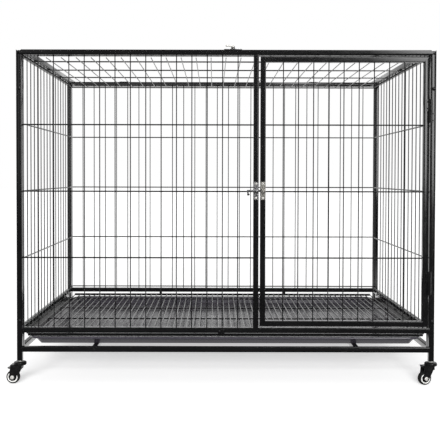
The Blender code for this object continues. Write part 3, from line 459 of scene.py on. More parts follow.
panelFrame("door_tube_frame", "door_frame", "door", (1, 0, 0), (0, 0, 1), (0, 1, 0))
panelFrame("lid_tube_frame", "lid_frame", "lid", (1, 0, 0), (0, 1, 0), (0, 0, 1))
crossX = []
for side in ("left", "right"):
    lowest, highest = map(np.array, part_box(side + "_cross_tube"))
    x = (lowest[0] + highest[0]) / 2
    crossX.append(x)
    bar = tubeBar((x, lowest[1], lowerRail), (x, highest[1], lowerRail), (1, 0, 0))
    paintedPiece(side + "_cross_bar", bar, [side + "_cross_tube"])
print("frames done")

# Welded wire

wire = {"thin": 0.0028, "thick": 0.0039, "coating": 1.1, "around": 10, "tip": 0.55,
        "gap": 0.0003, "melt": 0.001, "bead": 1.25, "beadHeight": 0.8, "beadCut": 0.9,
        "beadAround": 8, "beadRings": 4}


# Faces of many closed shapes of the same make, whose points follow each other
def manyFaces(count, rings, around):
    block = rings * around
    offset = np.arange(count)[:, None, None] * block
    quads = (gridFaces(rings, around)[None] + offset).reshape(-1, 4)
    caps = np.stack([np.arange(around)[::-1], np.arange(around) + block - around])
    caps = (caps[None] + offset).reshape(-1, around)
    return quads.tolist() + caps.tolist()


# Many straight wires at once: ring s of wire n is start + (end - start) t, and the radius is
# smaller in the first and last ring, which rounds the tips
def straightWires(starts, ends, radius):
    length = np.linalg.norm(ends - starts, axis=1)
    along = (ends - starts) / length[:, None]
    tip = radius * wire["tip"] / length.mean()
    t = np.array([0, tip, 1 - tip, 1])
    size = radius * np.array([wire["tip"], 1, 1, wire["tip"]])
    upright = np.abs(along[:, 2:]) > 0.5
    side = unitRows(np.cross(along, np.where(upright, [[1.0, 0, 0]], [[0, 0, 1.0]])))
    lift = np.cross(along, side)
    cosines, sines = circlePoints(wire["around"]).T[:, None, :, None]
    circle = cosines * side[:, None] + sines * lift[:, None]
    centre = starts[:, None] + (ends - starts)[:, None] * t[None, :, None]
    points = centre[:, :, None] + size[None, :, None, None] * circle[:, None]
    return points.reshape(-1, 3), manyFaces(*points.shape[:3])


# A small ellipsoid at each crossing, longer along the thinner wire: the metal that the spot
# weld squeezed out. Its ring at height h has the radius sqrt(1 - h^2)
def weldBeads(centres, size):
    around, rings, cut = wire["beadAround"], wire["beadRings"], wire["beadCut"]
    rise = np.linspace(-cut, cut, rings)[:, None, None]
    ring = np.sqrt(1 - rise ** 2) * circlePoints(around)
    ball = np.concatenate([ring, np.broadcast_to(rise, (rings, around, 1))], 2)
    points = centres[:, None] + ball.reshape(1, -1, 3) * size
    return points.reshape(-1, 3), manyFaces(len(centres), rings, around)


# First place, last place and count of the wires
frontRows, fullRows, sidePlaces = (0.3781, 0.7781, 3), (0.1790, 0.9790, 5), (-0.3375, 0.3375, 16)
panels = {
    "front_wire_panel": {"body": "crate", "places": (-0.5629, 0.0359, 14), "rows": frontRows},
    "door_wire_panel": {"body": "door", "places": (0.1719, 0.5351, 9), "rows": frontRows},
    "back_wire_panel": {"body": "crate", "places": (-0.5638, 0.5638, 26), "rows": fullRows},
    "left_wire_panel": {"body": "crate", "places": sidePlaces, "rows": fullRows},
    "right_wire_panel": {"body": "crate", "places": sidePlaces, "rows": fullRows},
    # The lid wires and the floor grid take the lit copy of the wire coat, a painted highlight
    "lid_wire_panel": {"body": "lid", "places": (-0.5400, 0.5400, 25),
                       "rows": (-0.2795, 0.2795, 4), "coat": "litWireCoat"},
    "floor_grid": {"body": "floor_grid", "places": (-0.5916, 0.5916, 59),
                   "rows": (-0.3200, 0.2800, 4), "coat": "litWireCoat"},
}


# across is the axis that the many wires are spread along, up the one that the cross wires are
# spread along, and normal the one that the two layers lie along. A layer is its place along the
# normal and the radius of its wires
def wirePanel(node, across, up, normal, manyLayer, crossLayer, extra=()):
    look = panels[node]
    lowest, highest = map(np.array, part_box(node))
    (first, firstRadius), (second, secondRadius) = manyLayer, crossLayer
    places = np.linspace(*look["places"])
    rows = np.linspace(*look["rows"])
    many = places[:, None] * across + normal * first
    cross = rows[:, None] * up + normal * second
    shapes = [straightWires(many + up * (up @ lowest), many + up * (up @ highest), firstRadius),
              straightWires(cross + across * (across @ lowest),
                            cross + across * (across @ highest), secondRadius)]
    meet = (first + second + (firstRadius - secondRadius) * np.sign(second - first)) / 2
    spots = places[:, None, None] * across + rows[None, :, None] * up + normal * meet
    size = (across * firstRadius * wire["bead"] + up * secondRadius * wire["bead"] +
            normal * min(firstRadius, secondRadius) * wire["beadHeight"])
    shapes.append(weldBeads(spots.reshape(-1, 3), size))
    makePiece(node.replace("wire_panel", "wires").replace("floor_grid", "floor_wires"),
              join(shapes + list(extra)), materials[look.get("coat", "shadedWireCoat")],
              look["body"], [node])


# The first layer stands a gap off the face, and the second melts into the first
def layers(face, direction, firstRadius, secondRadius):
    first = face + direction * (wire["gap"] + firstRadius)
    second = first + direction * (firstRadius + secondRadius - wire["melt"])
    return (first, firstRadius), (second, secondRadius)


xAxis, yAxis, zAxis = np.eye(3)
innerFront = low[1] + tube["size"]
thin, thick = (wire[name] / 2 * wire["coating"] for name in ("thin", "thick"))
for node, across, normal, face, direction in (
        ("front_wire_panel", xAxis, yAxis, innerFront, 1),
        ("door_wire_panel", xAxis, yAxis, innerFront, 1),
        ("back_wire_panel", xAxis, yAxis, -innerFront, -1),
        ("left_wire_panel", yAxis, xAxis, -innerX, 1),
        ("right_wire_panel", yAxis, xAxis, innerX, -1)):
    wirePanel(node, across, zAxis, normal, *layers(face, direction, thin, thick))
upper, under = layers(topEdge - tube["size"], -1, thick, thin)
wirePanel("lid_wire_panel", xAxis, yAxis, zAxis, under, upper)

grid = {"wire": 0.0035, "cross": 0.0050, "bar": 0.006, "rise": 0.0008, "barCorner": 0.0012,
        "barBevel": 0.0004}
lowest, highest = map(np.array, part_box("floor_grid"))
gridTop = highest[2] - grid["rise"]
many = gridTop - grid["wire"] / 2
cross = gridTop - grid["wire"] + wire["melt"] - grid["cross"] / 2
barOutline = softOutline(rectangle(0, 0, grid["bar"], highest[2] - lowest[2]), grid["barCorner"])
barShape = bevelledPlate(barOutline, 0, highest[0] - lowest[0], grid["barBevel"])
bars = [placed(barShape, toRight, (lowest[0], y, lowest[2]))
        for y in (lowest[1], highest[1] - grid["bar"])]
wirePanel("floor_grid", xAxis, yAxis, zAxis, (many, grid["wire"] / 2), (cross, grid["cross"] / 2),
          bars)
print("wires done")

# Tray

trayLook = {"corner": 0.040, "steps": 8, "wall": 0.0025, "fold": 0.0055}


# A rounded rectangle: four quarter circles of the corner radius about centres set in from the
# corners, joined by the straight sides
def roundedRing(halfX, halfY, radius, height, steps):
    angle = np.linspace(0, math.pi / 2, steps + 1)[None, :] + np.arange(4)[:, None] * math.pi / 2
    centreX = np.array([1, -1, -1, 1])[:, None] * (halfX - radius)
    centreY = np.array([1, 1, -1, -1])[:, None] * (halfY - radius)
    x = centreX + radius * np.cos(angle)
    y = centreY + radius * np.sin(angle)
    return np.stack([x.ravel(), y.ravel(), np.full(x.size, height)], 1)


lowest, highest = map(np.array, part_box("tray"))
base, rim = lowest[2], highest[2]
wall, fold = trayLook["wall"], rim - trayLook["fold"]
# How far each ring is set in from the tray's edge, and its height
profile = [(0.0350, base), (0.0325, base), (0.0308, base + 0.0006), (0.0115, rim - 0.0037),
           (0.0103, rim - 0.0029), (0.0088, rim - wall), (0.0036, rim - wall),
           (0.0028, rim - wall - 0.0003), (wall, rim - wall - 0.0010), (wall, fold + 0.0006),
           (0.0020, fold), (0.0006, fold), (0.0, fold + 0.0006), (0.0, rim - 0.0016),
           (0.0005, rim - 0.0005), (0.0016, rim), (0.0098, rim), (0.0112, rim - 0.0004),
           (0.0124, rim - 0.0016), (0.0308, base + 0.0044), (0.0322, base + 0.0030),
           (0.0350, base + wall)]
rings = [roundedRing(highest[0] - inset, highest[1] - inset, trayLook["corner"] - inset, height,
                     trayLook["steps"]) for inset, height in profile]
makePiece("tray_pan", loft(rings), materials["trayPlastic"], "tray", ["tray"])
print("tray done")

# Fasteners

dome = {"around": 24, "skirt": 0.25, "reach": 0.94, "steps": 6}
bolt = {"radius": 0.0055, "height": 0.003, "half": 0.0025, "length": 0.0240, "lap": 0.0001,
        "bevel": 0.0003}
slot = {"size": 0.0017, "width": 0.0004, "thick": 0.0002, "bevel": 0.00005}


# A low dome: r = R cos(a), z = H sin(a), on a short straight skirt
def domeHead(radius, height):
    a, skirt = np.linspace(0, dome["reach"] * math.pi / 2, dome["steps"]), dome["skirt"]
    profile = np.stack([radius * np.cos(a), height * (skirt + (1 - skirt) * np.sin(a))], 1)
    return turned(np.concatenate([[[radius, 0]], profile]), dome["around"])


# A cross recess is two thin sunk bars, here two dark slots standing a hair above the head: painted
# shade for the recess
def crossSlots(height):
    size, width = slot["size"], slot["width"]
    bar = softOutline(rectangle(-size, -width, size, width), width, 2)
    other = bar[:, ::-1] * np.array([1, -1])
    return [bevelledPlate(outline, height - slot["thick"], height, slot["bevel"])
            for outline in (bar, other)]


half = bolt["half"]
shank = bevelledPlate(rectangle(-half, -half, half, half), -bolt["length"], bolt["lap"],
                      bolt["bevel"])
boltShape = join([domeHead(bolt["radius"], bolt["height"]), shank])
for end, endAxes in (("front", toFront), ("back", toBack)):
    for corner in ("left_lower", "left_upper", "right_lower", "right_upper"):
        node = f"bolt_{end}_{corner}"
        lowest, highest = map(np.array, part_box(node))
        centre = (lowest + highest) / 2
        centre[1] = (lowest[1] + bolt["height"] if end == "front" else
                     highest[1] - bolt["height"])
        paintedPiece(node + "_head", placed(boltShape, endAxes, centre), [node])
print("bolts done")

# Latches

latch = {"plateLength": 0.054, "plateWidth": 0.015, "plate": 0.0015, "plateCorner": 0.0025,
         "gap": 0.0003, "bevel": 0.0003, "axis": 0.0065, "sleeve": 0.0055, "bore": 0.0036,
         "sleeveHalf": 0.0065, "catchHalf": 0.0060, "foot": 0.0030, "strap": 0.0012,
         "strapLap": 0.0002, "strapBevel": 0.0002, "rod": 0.003, "tail": 0.0275,
         "tip": 0.0120, "pitch": 0.0205, "screwAt": 0.0215, "screw": 0.0034,
         "screwRise": 0.0016, "slotTop": 0.00163, "lever": 0.0240, "leverRadius": 0.0024,
         "leverRoot": 0.0035, "leverEnd": 0.0015, "leverBend": 0.0012, "knob": 0.0040,
         "knobFrom": 0.68, "knobRun": 0.2, "knobTip": 0.6, "ring": 0.0065,
         "ringHole": 0.0034, "ringTop": 0.0123, "doorHeight": 0.5805, "doorTilt": -30,
         "lidX": 0.0205, "lidTilt": 82.6}
zinc, bright = materials["zincPlate"], materials["brightScrew"]
# Painted shade: a near-black copy of the caster paint, laid over the screw heads where the cross
# recesses would lie in shade
shadow = makeMaterial("paintedRecessShade", {**looks["casterPaint"], "wear": 0.0})
plateTop = latch["gap"] + latch["plate"]


# A plate with round corners, a hair off the face
def latchPlate():
    x, z = latch["plateWidth"] / 2, latch["plateLength"] / 2
    outline = softOutline(rectangle(-x, -z, x, z), latch["plateCorner"], 4)
    return bevelledPlate(outline, latch["gap"], plateTop, latch["bevel"])


# A strap bent over the bolt: straight feet, straight cheeks and half a circle over the top,
# the same outline inside and out, pulled along the bolt
def strap(halfLength):
    outer, inner, axis = latch["sleeve"], latch["bore"], latch["axis"]
    foot, base = outer + latch["foot"], plateTop - latch["strapLap"]
    level = base + latch["strap"]
    angle = np.linspace(0, math.pi, 13)
    outline = np.concatenate([[(foot, base), (foot, level), (outer, level)],
                              arc(outer, angle, 0, axis),
                              [(-outer, level), (-foot, level), (-foot, base), (-inner, base)],
                              arc(inner, angle[::-1], 0, axis), [(inner, base)]])
    return placed(bevelledPlate(outline, -halfLength, halfLength, latch["strapBevel"]), toRight)


# A flat ring: a closed section turned round Z
def eyeRing():
    hole, ring, top = latch["ringHole"], latch["ring"], latch["ringTop"]
    return turned([(hole, top - 0.0016), (ring - 0.0006, top - 0.0016), (ring, top - 0.0010),
                   (ring - 0.0004, top - 0.0002), (ring - 0.0012, top), (hole + 0.0007, top),
                   (hole, top - 0.0006)], 32, loop=True)


# The bolt's rod, and a lever whose path bows by sin^2(pi t) and which swells into a knob
def boltRod(leverTilt):
    r, tail, tip = latch["rod"], latch["tail"], latch["tip"]
    rod = turned([(r * 0.7, -tail), (r, -tail + 0.0008), (r, tip - 0.0012),
                  (r * 0.8, tip - 0.0002), (r * 0.5, tip)], 20)
    tilt = np.array([0, math.sin(leverTilt), math.cos(leverTilt)])
    root = np.array([latch["leverRoot"] - tail, 0, latch["axis"]])
    t = np.linspace(0, 1, 12)[:, None]
    bow = np.array([-latch["leverBend"], 0, 0]) * np.sin(math.pi * t) ** 2
    path = root + tilt * (latch["lever"] - latch["leverEnd"]) * t + bow
    swell = np.clip((t[:, 0] - latch["knobFrom"]) / latch["knobRun"], 0, 1)
    radius = latch["leverRadius"] + (latch["knob"] - latch["leverRadius"]) * swell
    radius[-1] *= latch["knobTip"]
    return join([placed(rod, toRight, (0, 0, latch["axis"])), tubeAlong(path, radius, xAxis)])


# Local x crosses the gap towards the keeper, y runs along the gap and z faces outwards
def makeLatch(prefix, boltLook, axes, origin, leverTilt):
    place = np.asarray(origin, float) + np.asarray(axes[0], float) * latch["pitch"]
    housing = join([latchPlate(), strap(latch["sleeveHalf"])])
    keeper = join([latchPlate(), strap(latch["catchHalf"]), eyeRing()])
    makePiece(prefix + "_latch_plate", placed(housing, axes, origin), materials["greySteel"],
              "crate", [prefix + "_latch_housing"])
    makePiece(prefix + "_latch_catch", placed(keeper, axes, place), zinc, prefix,
              [prefix + "_latch_keeper"])
    makePiece(prefix + "_latch_rod", placed(boltRod(math.radians(leverTilt)), axes, origin),
              materials[boltLook], prefix + "_bolt", [prefix + "_latch_bolt"])
    for number, (base, rider) in enumerate(((origin, "crate"), (place, prefix))):
        screws, slots = [], []
        for y in (-latch["screwAt"], latch["screwAt"]):
            screws.append(shifted(domeHead(latch["screw"], latch["screwRise"]), (0, y, plateTop)))
            slots += [shifted(bar, (0, y, 0)) for bar in crossSlots(plateTop + latch["slotTop"])]
        makePiece(f"{prefix}_latch_screws_{number}", placed(join(screws), axes, base), bright,
                  rider)
        makePiece(f"{prefix}_latch_slots_{number}", placed(join(slots), axes, base), shadow,
                  rider)


makeLatch("door", "darkSteel", toFront, (centrePost, low[1], latch["doorHeight"]),
          latch["doorTilt"])
makeLatch("lid", "brightScrew", [[0, 1, 0], [-1, 0, 0], [0, 0, 1]],
          (latch["lidX"], frontY, topEdge), latch["lidTilt"])
print("latches done")

# Brackets under the rear rail and small screws

small = {"bracketX": 0.250, "bracketHalf": 0.005, "bracket": 0.0022, "drop": 0.0155,
         "sunk": 0.002, "back": 0.3842, "corner": 0.002, "bevel": 0.0003, "screw": 0.0030,
         "screwRise": 0.0014, "screwSeat": 0.0001, "cornerScrew": 0.005}
half = small["bracketHalf"]
ear = softOutline(rectangle(-half, -small["drop"], half, 0), small["corner"])
ears = [placed(bevelledPlate(ear, 0, small["bracket"], small["bevel"]), toBack,
               (x, small["back"], bottomRail - tubeHalf + small["sunk"]))
        for x in (-small["bracketX"], small["bracketX"])]
paintedPiece("rear_rail_brackets", join(ears))
heads = [placed(domeHead(small["screw"], small["screwRise"]), toFront,
                (x, low[1] + small["screwSeat"], lowerRail))
         for x in crossX + [-postX + small["cornerScrew"]]]
paintedPiece("front_small_screws", join(heads))
print("small parts done")

# Hinges and the turn button

hinge = {"radius": 0.00575, "half": 0.035, "leaf": 0.002, "reach": 0.0100, "round": 0.0008,
         "gap": 0.00015, "leafCorner": 0.0015, "bevel": 0.0003, "screw": 0.0022,
         "screwRise": 0.0011, "screwSeat": 0.0001, "screwStep": 0.010, "screwX": 0.0078,
         "foldedScrewX": 0.0048, "doorAxis": (0.60675, -0.40605, 0), "lower": 0.306,
         "upper": 0.8186, "lidAxis": (0, 0.40605, 0.99655), "lidX": 0.380}


# A barrel with soft rims, turned round the hinge's axis
def hingeKnuckle(start, end):
    r, soft = hinge["radius"], hinge["round"]
    return turned([(r - soft, start), (r, start + soft), (r, end - soft), (r - soft, end)], 28)


# The leaf's own x, y and z lie along the given rows, and its screws stand on its z side
def hingeLeaf(outline, rows, origin, screwX, middle):
    plate = bevelledPlate(softOutline(outline, hinge["leafCorner"]), 0, hinge["leaf"],
                          hinge["bevel"])
    head = domeHead(hinge["screw"], hinge["screwRise"])
    top = hinge["leaf"] - hinge["screwSeat"]
    shapes = [plate] + [shifted(head, (screwX, middle + step, top))
                        for step in (-hinge["screwStep"], hinge["screwStep"])]
    return [placed(shape, rows, origin) for shape in shapes]


# Local z is the axis, x points to the moving side and y away from the face it is fixed to. A
# folded leaf of that length turns the corner and lies over the top of the face instead
def makeHinge(name, fixedHalf, body, axes, origin, foldedLeaf=0.0):
    radius, half, reach, gap = (hinge[key] for key in ("radius", "half", "reach", "gap"))
    middle, face, screwX = (gap + half) / 2, (0, -radius, 0), hinge["screwX"]
    fixed = hingeLeaf(rectangle(-reach, gap, 0, half), toBackTurned, face, -screwX, middle)
    if foldedLeaf:
        moving = hingeLeaf(rectangle(-foldedLeaf, gap, 0, half), toRight,
                           (radius - hinge["leaf"], 0, 0), hinge["foldedScrewX"] - foldedLeaf,
                           middle)
    else:
        moving = hingeLeaf(rectangle(0, -half, reach, -gap), toBackTurned, face, screwX, -middle)
    for kind, shapes, rider, node in (
            ("fixed", [hingeKnuckle(-half, -gap)] + fixed, "crate", fixedHalf),
            ("moving", [hingeKnuckle(gap, half)] + moving, body, body + "_half")):
        paintedPiece(f"{name}_{kind}", placed(join(shapes), axes, origin), [f"{name}_{node}"],
                     rider)


for level in ("lower", "upper"):
    makeHinge("door_hinge_" + level, "post_half", "door", [[-1, 0, 0], [0, -1, 0], [0, 0, 1]],
              np.array(hinge["doorAxis"]) + (0, 0, hinge[level]))
foldedLeaf = hinge["lidAxis"][1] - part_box("lid_hinge_left_lid_half")[0][1]
for side, x in (("left", -hinge["lidX"]), ("right", hinge["lidX"])):
    makeHinge("lid_hinge_" + side, "frame_half", "lid", [[0, 0, 1], [0, 1, 0], [-1, 0, 0]],
              np.array(hinge["lidAxis"]) + (x, 0, 0), foldedLeaf)

lock = {"x": -0.019, "z": 0.1595, "radius": 0.006, "arm": 0.0170, "sheet": 0.0025,
        "corner": 0.003, "bevel": 0.0004, "screw": 0.0045, "screwRise": 0.0020, "gap": 0.0003}
# Half a circle round the screw, and an arm with round corners
radius = lock["radius"]
roundEnd = arc(radius, np.linspace(math.pi / 2, 1.5 * math.pi, 15))
arm = softOutline(rectangle(0, -radius, lock["arm"], radius), lock["corner"], 4)
outline = np.concatenate([roundEnd, arm[5:15]])  # the arm's two far corners, five points each
button = join([bevelledPlate(outline, 0.0, lock["sheet"], lock["bevel"]),
               shifted(domeHead(lock["screw"], lock["screwRise"]), (0, 0, lock["sheet"]))])
paintedPiece("grid_turn_button",
             placed(button, toFront, (lock["x"], low[1] - lock["gap"], lock["z"])),
             ["grid_lock"], "grid_lock")
print("hinges done")

# Casters

caster = {"wheel": 0.0205, "tyre": 0.0201, "width": 0.018, "trail": 0.0210, "core": 0.0153,
          "axle": 0.003, "nut": 0.0055, "nutHeight": 0.0019, "axleHead": 0.0058,
          "legGap": 0.0100, "sheet": 0.002, "legBack": -0.0070, "legFront": 0.0275,
          "legCorner": 0.0030, "eye": 0.0098, "crown": 0.0584, "headRadius": 0.0192,
          "headLow": 0.0559, "headHigh": 0.0674, "collar": 0.008, "spokes": 6,
          "treadDrop": 0.0026, "treadPower": 3.2, "treadReach": 0.985, "pedalX": 0.0135,
          "pedalZ": 0.0465, "pedalReach": 0.0170, "pedalTip": 0.006, "pedalHalf": 0.47,
          "pressedTip": 0.4, "pedalLift": 25}
headings = {"front_left": (-1, -1, 177, "down"), "front_right": (1, -1, 196, "up"),
            "rear_left": (-1, 1, 16, None), "rear_right": (1, 1, -3, None)}


# Two cheeks that end in an arc round the axle, under a flat crown with a narrow back web
def forkShape():
    back, front, crown, sheet = (caster[key] for key in ("legBack", "legFront", "crown", "sheet"))
    angle = np.radians(np.linspace(205, 370, 15))
    eye = arc(caster["eye"], angle, caster["trail"], caster["wheel"])
    corners = np.concatenate([[(back, crown), (back, crown - 0.005)], eye,
                              [(front, crown - 0.010), (front, crown)]])
    inner, outer = caster["legGap"], caster["legGap"] + sheet
    leg = bevelledPlate(softOutline(corners, caster["legCorner"], 2), 0, sheet, 0.0005)
    wide = softOutline(rectangle(-0.0068, 0.0003 - outer, 0.0270, outer - 0.0003), 0.003)
    web = softOutline(rectangle(back, 0.0004 - outer, -0.0050, outer - 0.0004), 0.0006, 2)
    return [placed(leg, toFront, (0, outer, 0)), placed(leg, toFront, (0, -inner, 0)),
            bevelledPlate(wide, 0.0540, crown - 0.0002, 0.0006),
            bevelledPlate(web, 0.0450, 0.0560, 0.0006)]


# Two cups with a groove between them: one profile turned round the stem
def headShape():
    r, z0, z1 = caster["headRadius"], caster["headLow"], caster["headHigh"]
    middle = (z0 + z1) / 2
    profile = [(0.004, z0 - 0.0002), (r - 0.0045, z0), (r - 0.0015, z0 + 0.0012), (r, z0 + 0.0030),
               (r, middle - 0.0012), (r - 0.0008, middle - 0.0006), (r - 0.0014, middle),
               (r - 0.0008, middle + 0.0006), (r, middle + 0.0012), (r - 0.0004, z1 - 0.0030),
               (r - 0.0022, z1 - 0.0010), (r - 0.0055, z1), (0.0045, z1)]
    return turned(profile, 40)


# A turned pin through both cheeks, with a hexagon nut and a dome at its ends
def axleShape():
    r, height, outer = caster["axle"], caster["nutHeight"], caster["legGap"] + caster["sheet"]
    nut = bevelledPlate(caster["nut"] * circlePoints(6), 0, height, 0.0003)
    pin = turned([(r - 0.0002, -outer), (r, 0.0002 - outer), (r, outer - 0.0002),
                  (r - 0.0002, outer)], 20)
    x, z = caster["trail"], caster["wheel"]
    return [placed(pin, toBackTurned, (x, 0, z)), placed(nut, toFront, (x, -outer, z)),
            placed(domeHead(caster["axleHead"], height), toBackTurned, (x, outer, z))]


# The tread falls off to its sides: r = R - drop |a|^power, with a from -1 to 1
def tyreShape():
    half, r, inner = caster["width"] / 2, caster["tyre"], caster["core"]
    a = np.linspace(-1, 1, 17)
    tread = np.stack([r - caster["treadDrop"] * np.abs(a) ** caster["treadPower"],
                      half * a * caster["treadReach"]], 1)
    profile = np.concatenate([[(inner, -half + 0.0006), (inner + 0.0010, -half)], tread,
                              [(inner + 0.0010, half), (inner, half - 0.0006)]])
    return turned(profile, 48, loop=True)


# Rim, hub and the disc between them are turned round the axle, and ribs stand on the disc
def coreShape():
    half, r = caster["width"] / 2 - 0.0006, caster["core"] - 0.0002
    rim = [(r - 0.0026, -half), (r - 0.0004, -half), (r, -half + 0.0004), (r, half - 0.0004),
           (r - 0.0004, half), (r - 0.0026, half), (r - 0.0034, half - 0.0028),
           (r - 0.0034, -half + 0.0028)]
    hub = [(0.0035, -half), (0.0060, -half), (0.0066, -half + 0.0006), (0.0066, half - 0.0006),
           (0.0060, half), (0.0035, half)]
    web = rectangle(0.0050, -0.0012, r - 0.0020, 0.0012)
    shapes = [turned(hub, 32, True), turned(web, 32, True)]
    rib = bevelledPlate(rectangle(0.0050, -0.0009, r - 0.0020, 0.0009), -half + 0.0022,
                        half - 0.0022, 0.0003)
    for number in range(caster["spokes"]):
        shapes.append(placed(rib, turnedAxes(number * math.tau / caster["spokes"])))
    return turned(rim, 48, True), join(shapes)


# The plug in the leg with its collar, and the pin below, are turned round the stem
def stemShape():
    z, r = legEnd - 0.0003, caster["collar"]
    collar = turned([(0.0040, z - 0.0020), (r - 0.0004, z - 0.0020), (r, z - 0.0016),
                     (r, z - 0.0004), (r - 0.0004, z), (0.0062, z), (0.0062, z + 0.0270),
                     (0.0055, z + 0.0278)], 32)
    pin = turned([(0.0035, 0.0450), (0.004, 0.0455), (0.004, z), (0.0035, z)], 24)
    return join([collar, pin])


# Side view of the pedal: flat, then turned up at the tip, with a thickness of about one sheet
def pedalShape(raised):
    reach = caster["pedalReach"]
    x = np.array([0, 0.004, 0.008, 0.012, 0.0155, reach + 0.001, reach + 0.003,
                  reach + caster["pedalTip"]])
    rise = np.array([0, 0, 0, 0, 0.0002, 0.0008, 0.0019, 0.0040])
    z = rise * (1.0 if raised else caster["pressedTip"])
    width = np.array([0.0094, 0.0094, 0.0096, 0.0096, 0.0096, 0.0095, 0.0090, 0.0076])
    side = np.array([-1, -1, 1, 1])[None, :] * width[:, None]
    thickness = np.array([-1, 1, 1, -1])[None, :] * caster["pedalHalf"] * caster["sheet"]
    ring = np.stack([np.broadcast_to(x[:, None], side.shape), side, z[:, None] + thickness], 2)
    points, faces = loft(ring)
    lift = math.radians(caster["pedalLift"]) if raised else 0.0
    c, s = math.cos(lift), math.sin(lift)
    return points @ np.array([[c, 0, s], [0, 1, 0], [-s, 0, c]]), faces


for place, (sideSign, endSign, heading, brake) in headings.items():
    axes = turnedAxes(math.radians(heading))
    post = np.array([sideSign * postX, endSign * abs(frontY), 0])
    centre = post + axes[0] * caster["trail"] + (0, 0, caster["wheel"])
    wheelAxes = np.array([axes[0], axes[2], -axes[1]])
    rim, hub = coreShape()
    # Name, shape, axes, origin, look, body, slot and the node it stands for
    parts = [("fork_legs", join(forkShape()), axes, post, "casterPaint", "fork", "caster_metal",
              "caster_fork"),
             ("swivel_head", headShape(), axes, post, "casterPaint", "fork", "caster_metal", ""),
             ("axle_bolt", join(axleShape()), axes, post, "brightScrew", "fork", "zinc", ""),
             ("stem_collar", stemShape(), axes, post, "brightScrew", "", "zinc", "caster_stem"),
             ("tyre", tyreShape(), wheelAxes, centre, "tyreRubber", "wheel", "tyre", "wheel_tyre"),
             ("rim", rim, wheelAxes, centre, "hubPlastic", "wheel", "wheel_core", "wheel_core"),
             ("hub", hub, wheelAxes, centre, "casterPaint", "wheel", "wheel_core", "")]
    if brake:
        pivot = post + axes[0] * caster["pedalX"] + (0, 0, caster["pedalZ"])
        parts.append(("pedal_plate", pedalShape(brake == "up"), axes, pivot, "casterPaint",
                      "pedal", "caster_metal", "brake_pedal"))
    for name, shape, rows, origin, look, body, slotName, node in parts:
        makePiece(f"{place}_{name}", placed(shape, rows, origin), materials[look],
                  f"{place}_{body}" if body else "crate",
                  [f"{place}_{node}"] if node else ())
for side in ("left", "right"):
    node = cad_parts[side + "_grid_ledge"]
    for materialSlot in node.material_slots:
        materialSlot.material = paint
print("casters done")

# Camera, floor and light

view = {"x": -0.036, "distance": 2.205, "height": 0.6255, "lens": 60.54, "sensor": 36,
        "tilt": 1.225, "roll": 0.12, "shiftX": 0.0141, "shiftY": -0.0647, "clipStart": 0.05}
camera = addObject("camera", bpy.data.cameras.new("camera"))
camera.matrix_world = (Matrix.Translation((view["x"], low[1] - view["distance"], view["height"])) @
                       Matrix.Rotation(math.radians(90 - view["tilt"]), 4, "X") @
                       Matrix.Rotation(math.radians(view["roll"]), 4, "Z"))
camera.data.lens = view["lens"]
camera.data.sensor_width = view["sensor"]
camera.data.shift_x = view["shiftX"]
camera.data.shift_y = view["shiftY"]
camera.data.clip_start = view["clipStart"]
bpy.context.scene.camera = camera
bpy.context.scene.view_settings.view_transform = "Standard"

# A softbox is the slopes where it starts, is full and ends, and its strength
stageLook = {"floorColour": 0.85, "glow": 0.48, "mirrorFloor": 1.1, "mirrorEdge": (-0.40, 0.0),
             "mirrorFar": (2.6, 1.2), "farMirror": 0.08, "worldLight": 0.35, "darkRoom": 0.06,
             "sweep": (-0.05, 0.12), "floorSize": 30.0, "boxEdge": 0.08,
             "rightBox": (0.22, 0.29, 0.42, 7.0), "leftBox": (0.25, 0.28, 0.36, 0.6),
             "keyPlace": (-0.3, -4.3, 1.35), "keyStrength": 4.6, "keySpread": 28}


def lightPaths(tree):
    # 1 for camera rays, and 1 for mirrored and refracted rays
    light = addNode(tree, "ShaderNodeLightPath").outputs
    mirrored = mathValue(tree, "MAXIMUM", light["Is Glossy Ray"], light["Is Transmission Ray"])
    return light["Is Camera Ray"], mirrored


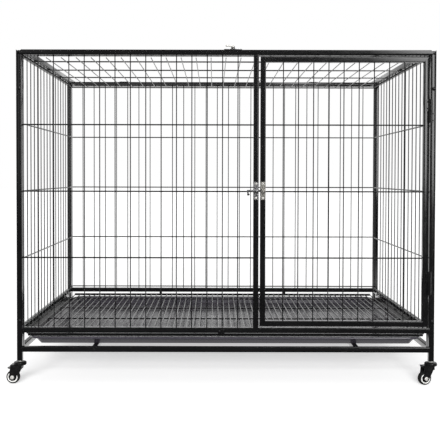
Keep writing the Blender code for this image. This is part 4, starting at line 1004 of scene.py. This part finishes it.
def makeFloor():
    # The floor glows a little to the camera, so that it meets the white sweep. In reflections it
    # brightens from the crate's front to its middle, and it is dark in front and far behind
    material = bpy.data.materials.new("studioFloor")
    material.use_nodes = True
    tree = material.node_tree
    seen, mirrored = lightPaths(tree)
    depth = splitVector(tree, addNode(tree, "ShaderNodeTexCoord").outputs["Object"])["Y"]
    behind = rangeValue(tree, depth, *stageLook["mirrorEdge"])
    fade = rangeValue(tree, depth, *stageLook["mirrorFar"], stageLook["farMirror"])
    grey = stageLook["floorColour"]
    shine = product(tree, product(tree, mirrored, behind),
                    product(tree, fade, stageLook["mirrorFloor"]))
    glow = product(tree, seen, stageLook["glow"])
    feed(tree, tree.nodes["Principled BSDF"], {
        "Base Color": mixValue(tree, "FLOAT", mirrored, grey, product(tree, behind, grey)),
        "Roughness": 0.9, "Specular IOR Level": 0.0, "Emission Color": (1, 1, 1, 1),
        "Emission Strength": mathValue(tree, "ADD", glow, shine)})
    size = stageLook["floorSize"]
    mesh = bpy.data.meshes.new("studio_floor")
    mesh.from_pydata([(x, y, 0) for x, y in rectangle(-size, -size, size, size)], [],
                     [(0, 1, 2, 3)])
    mesh.materials.append(material)
    floor = addObject("studio_floor", mesh)


def softbox(tree, slope, edges):
    # Bright between two sideways slopes of a direction, with soft edges
    start, full, end, strength = edges
    rise = rangeValue(tree, slope, start, full)
    fall = rangeValue(tree, slope, end + stageLook["boxEdge"], end)
    return product(tree, product(tree, rise, fall), strength)


def makeWorld():
    # White to the camera. Reflections see a white sweep behind the crate, a dark room in front
    # of it and a tall softbox at each front corner
    world = bpy.data.worlds.new("studio")
    bpy.context.scene.world = world
    world.use_nodes = True
    tree = world.node_tree
    seen, mirrored = lightPaths(tree)
    part = splitVector(tree, addNode(tree, "ShaderNodeTexCoord").outputs["Generated"])
    ahead = mathValue(tree, "MAXIMUM", product(tree, part["Y"], -1.0), 0.001)
    slope = mathValue(tree, "DIVIDE", part["X"], ahead)
    boxes = mathValue(tree, "ADD", softbox(tree, slope, stageLook["rightBox"]),
                      softbox(tree, product(tree, slope, -1.0), stageLook["leftBox"]))
    sweep = rangeValue(tree, part["Y"], *stageLook["sweep"], stageLook["darkRoom"])
    unseen = mixValue(tree, "FLOAT", mirrored, stageLook["worldLight"],
                      mathValue(tree, "ADD", sweep, boxes))
    feed(tree, tree.nodes["Background"], {
        "Color": (1, 1, 1, 1), "Strength": mixValue(tree, "FLOAT", seen, unseen, 1.0)})


def makeKey():
    # A soft, distant key from the front. The world holds what is mirrored, so it only lights
    data = bpy.data.lights.new("front_key", "SUN")
    data.angle = math.radians(stageLook["keySpread"])
    data.energy = stageLook["keyStrength"]
    lamp = addObject("front_key", data)
    lamp.location = stageLook["keyPlace"]
    lamp.visible_glossy = False
    lamp.rotation_euler = lamp.location.to_track_quat("Z", "Y").to_euler()


makeFloor()
makeWorld()
makeKey()
print("stage done")
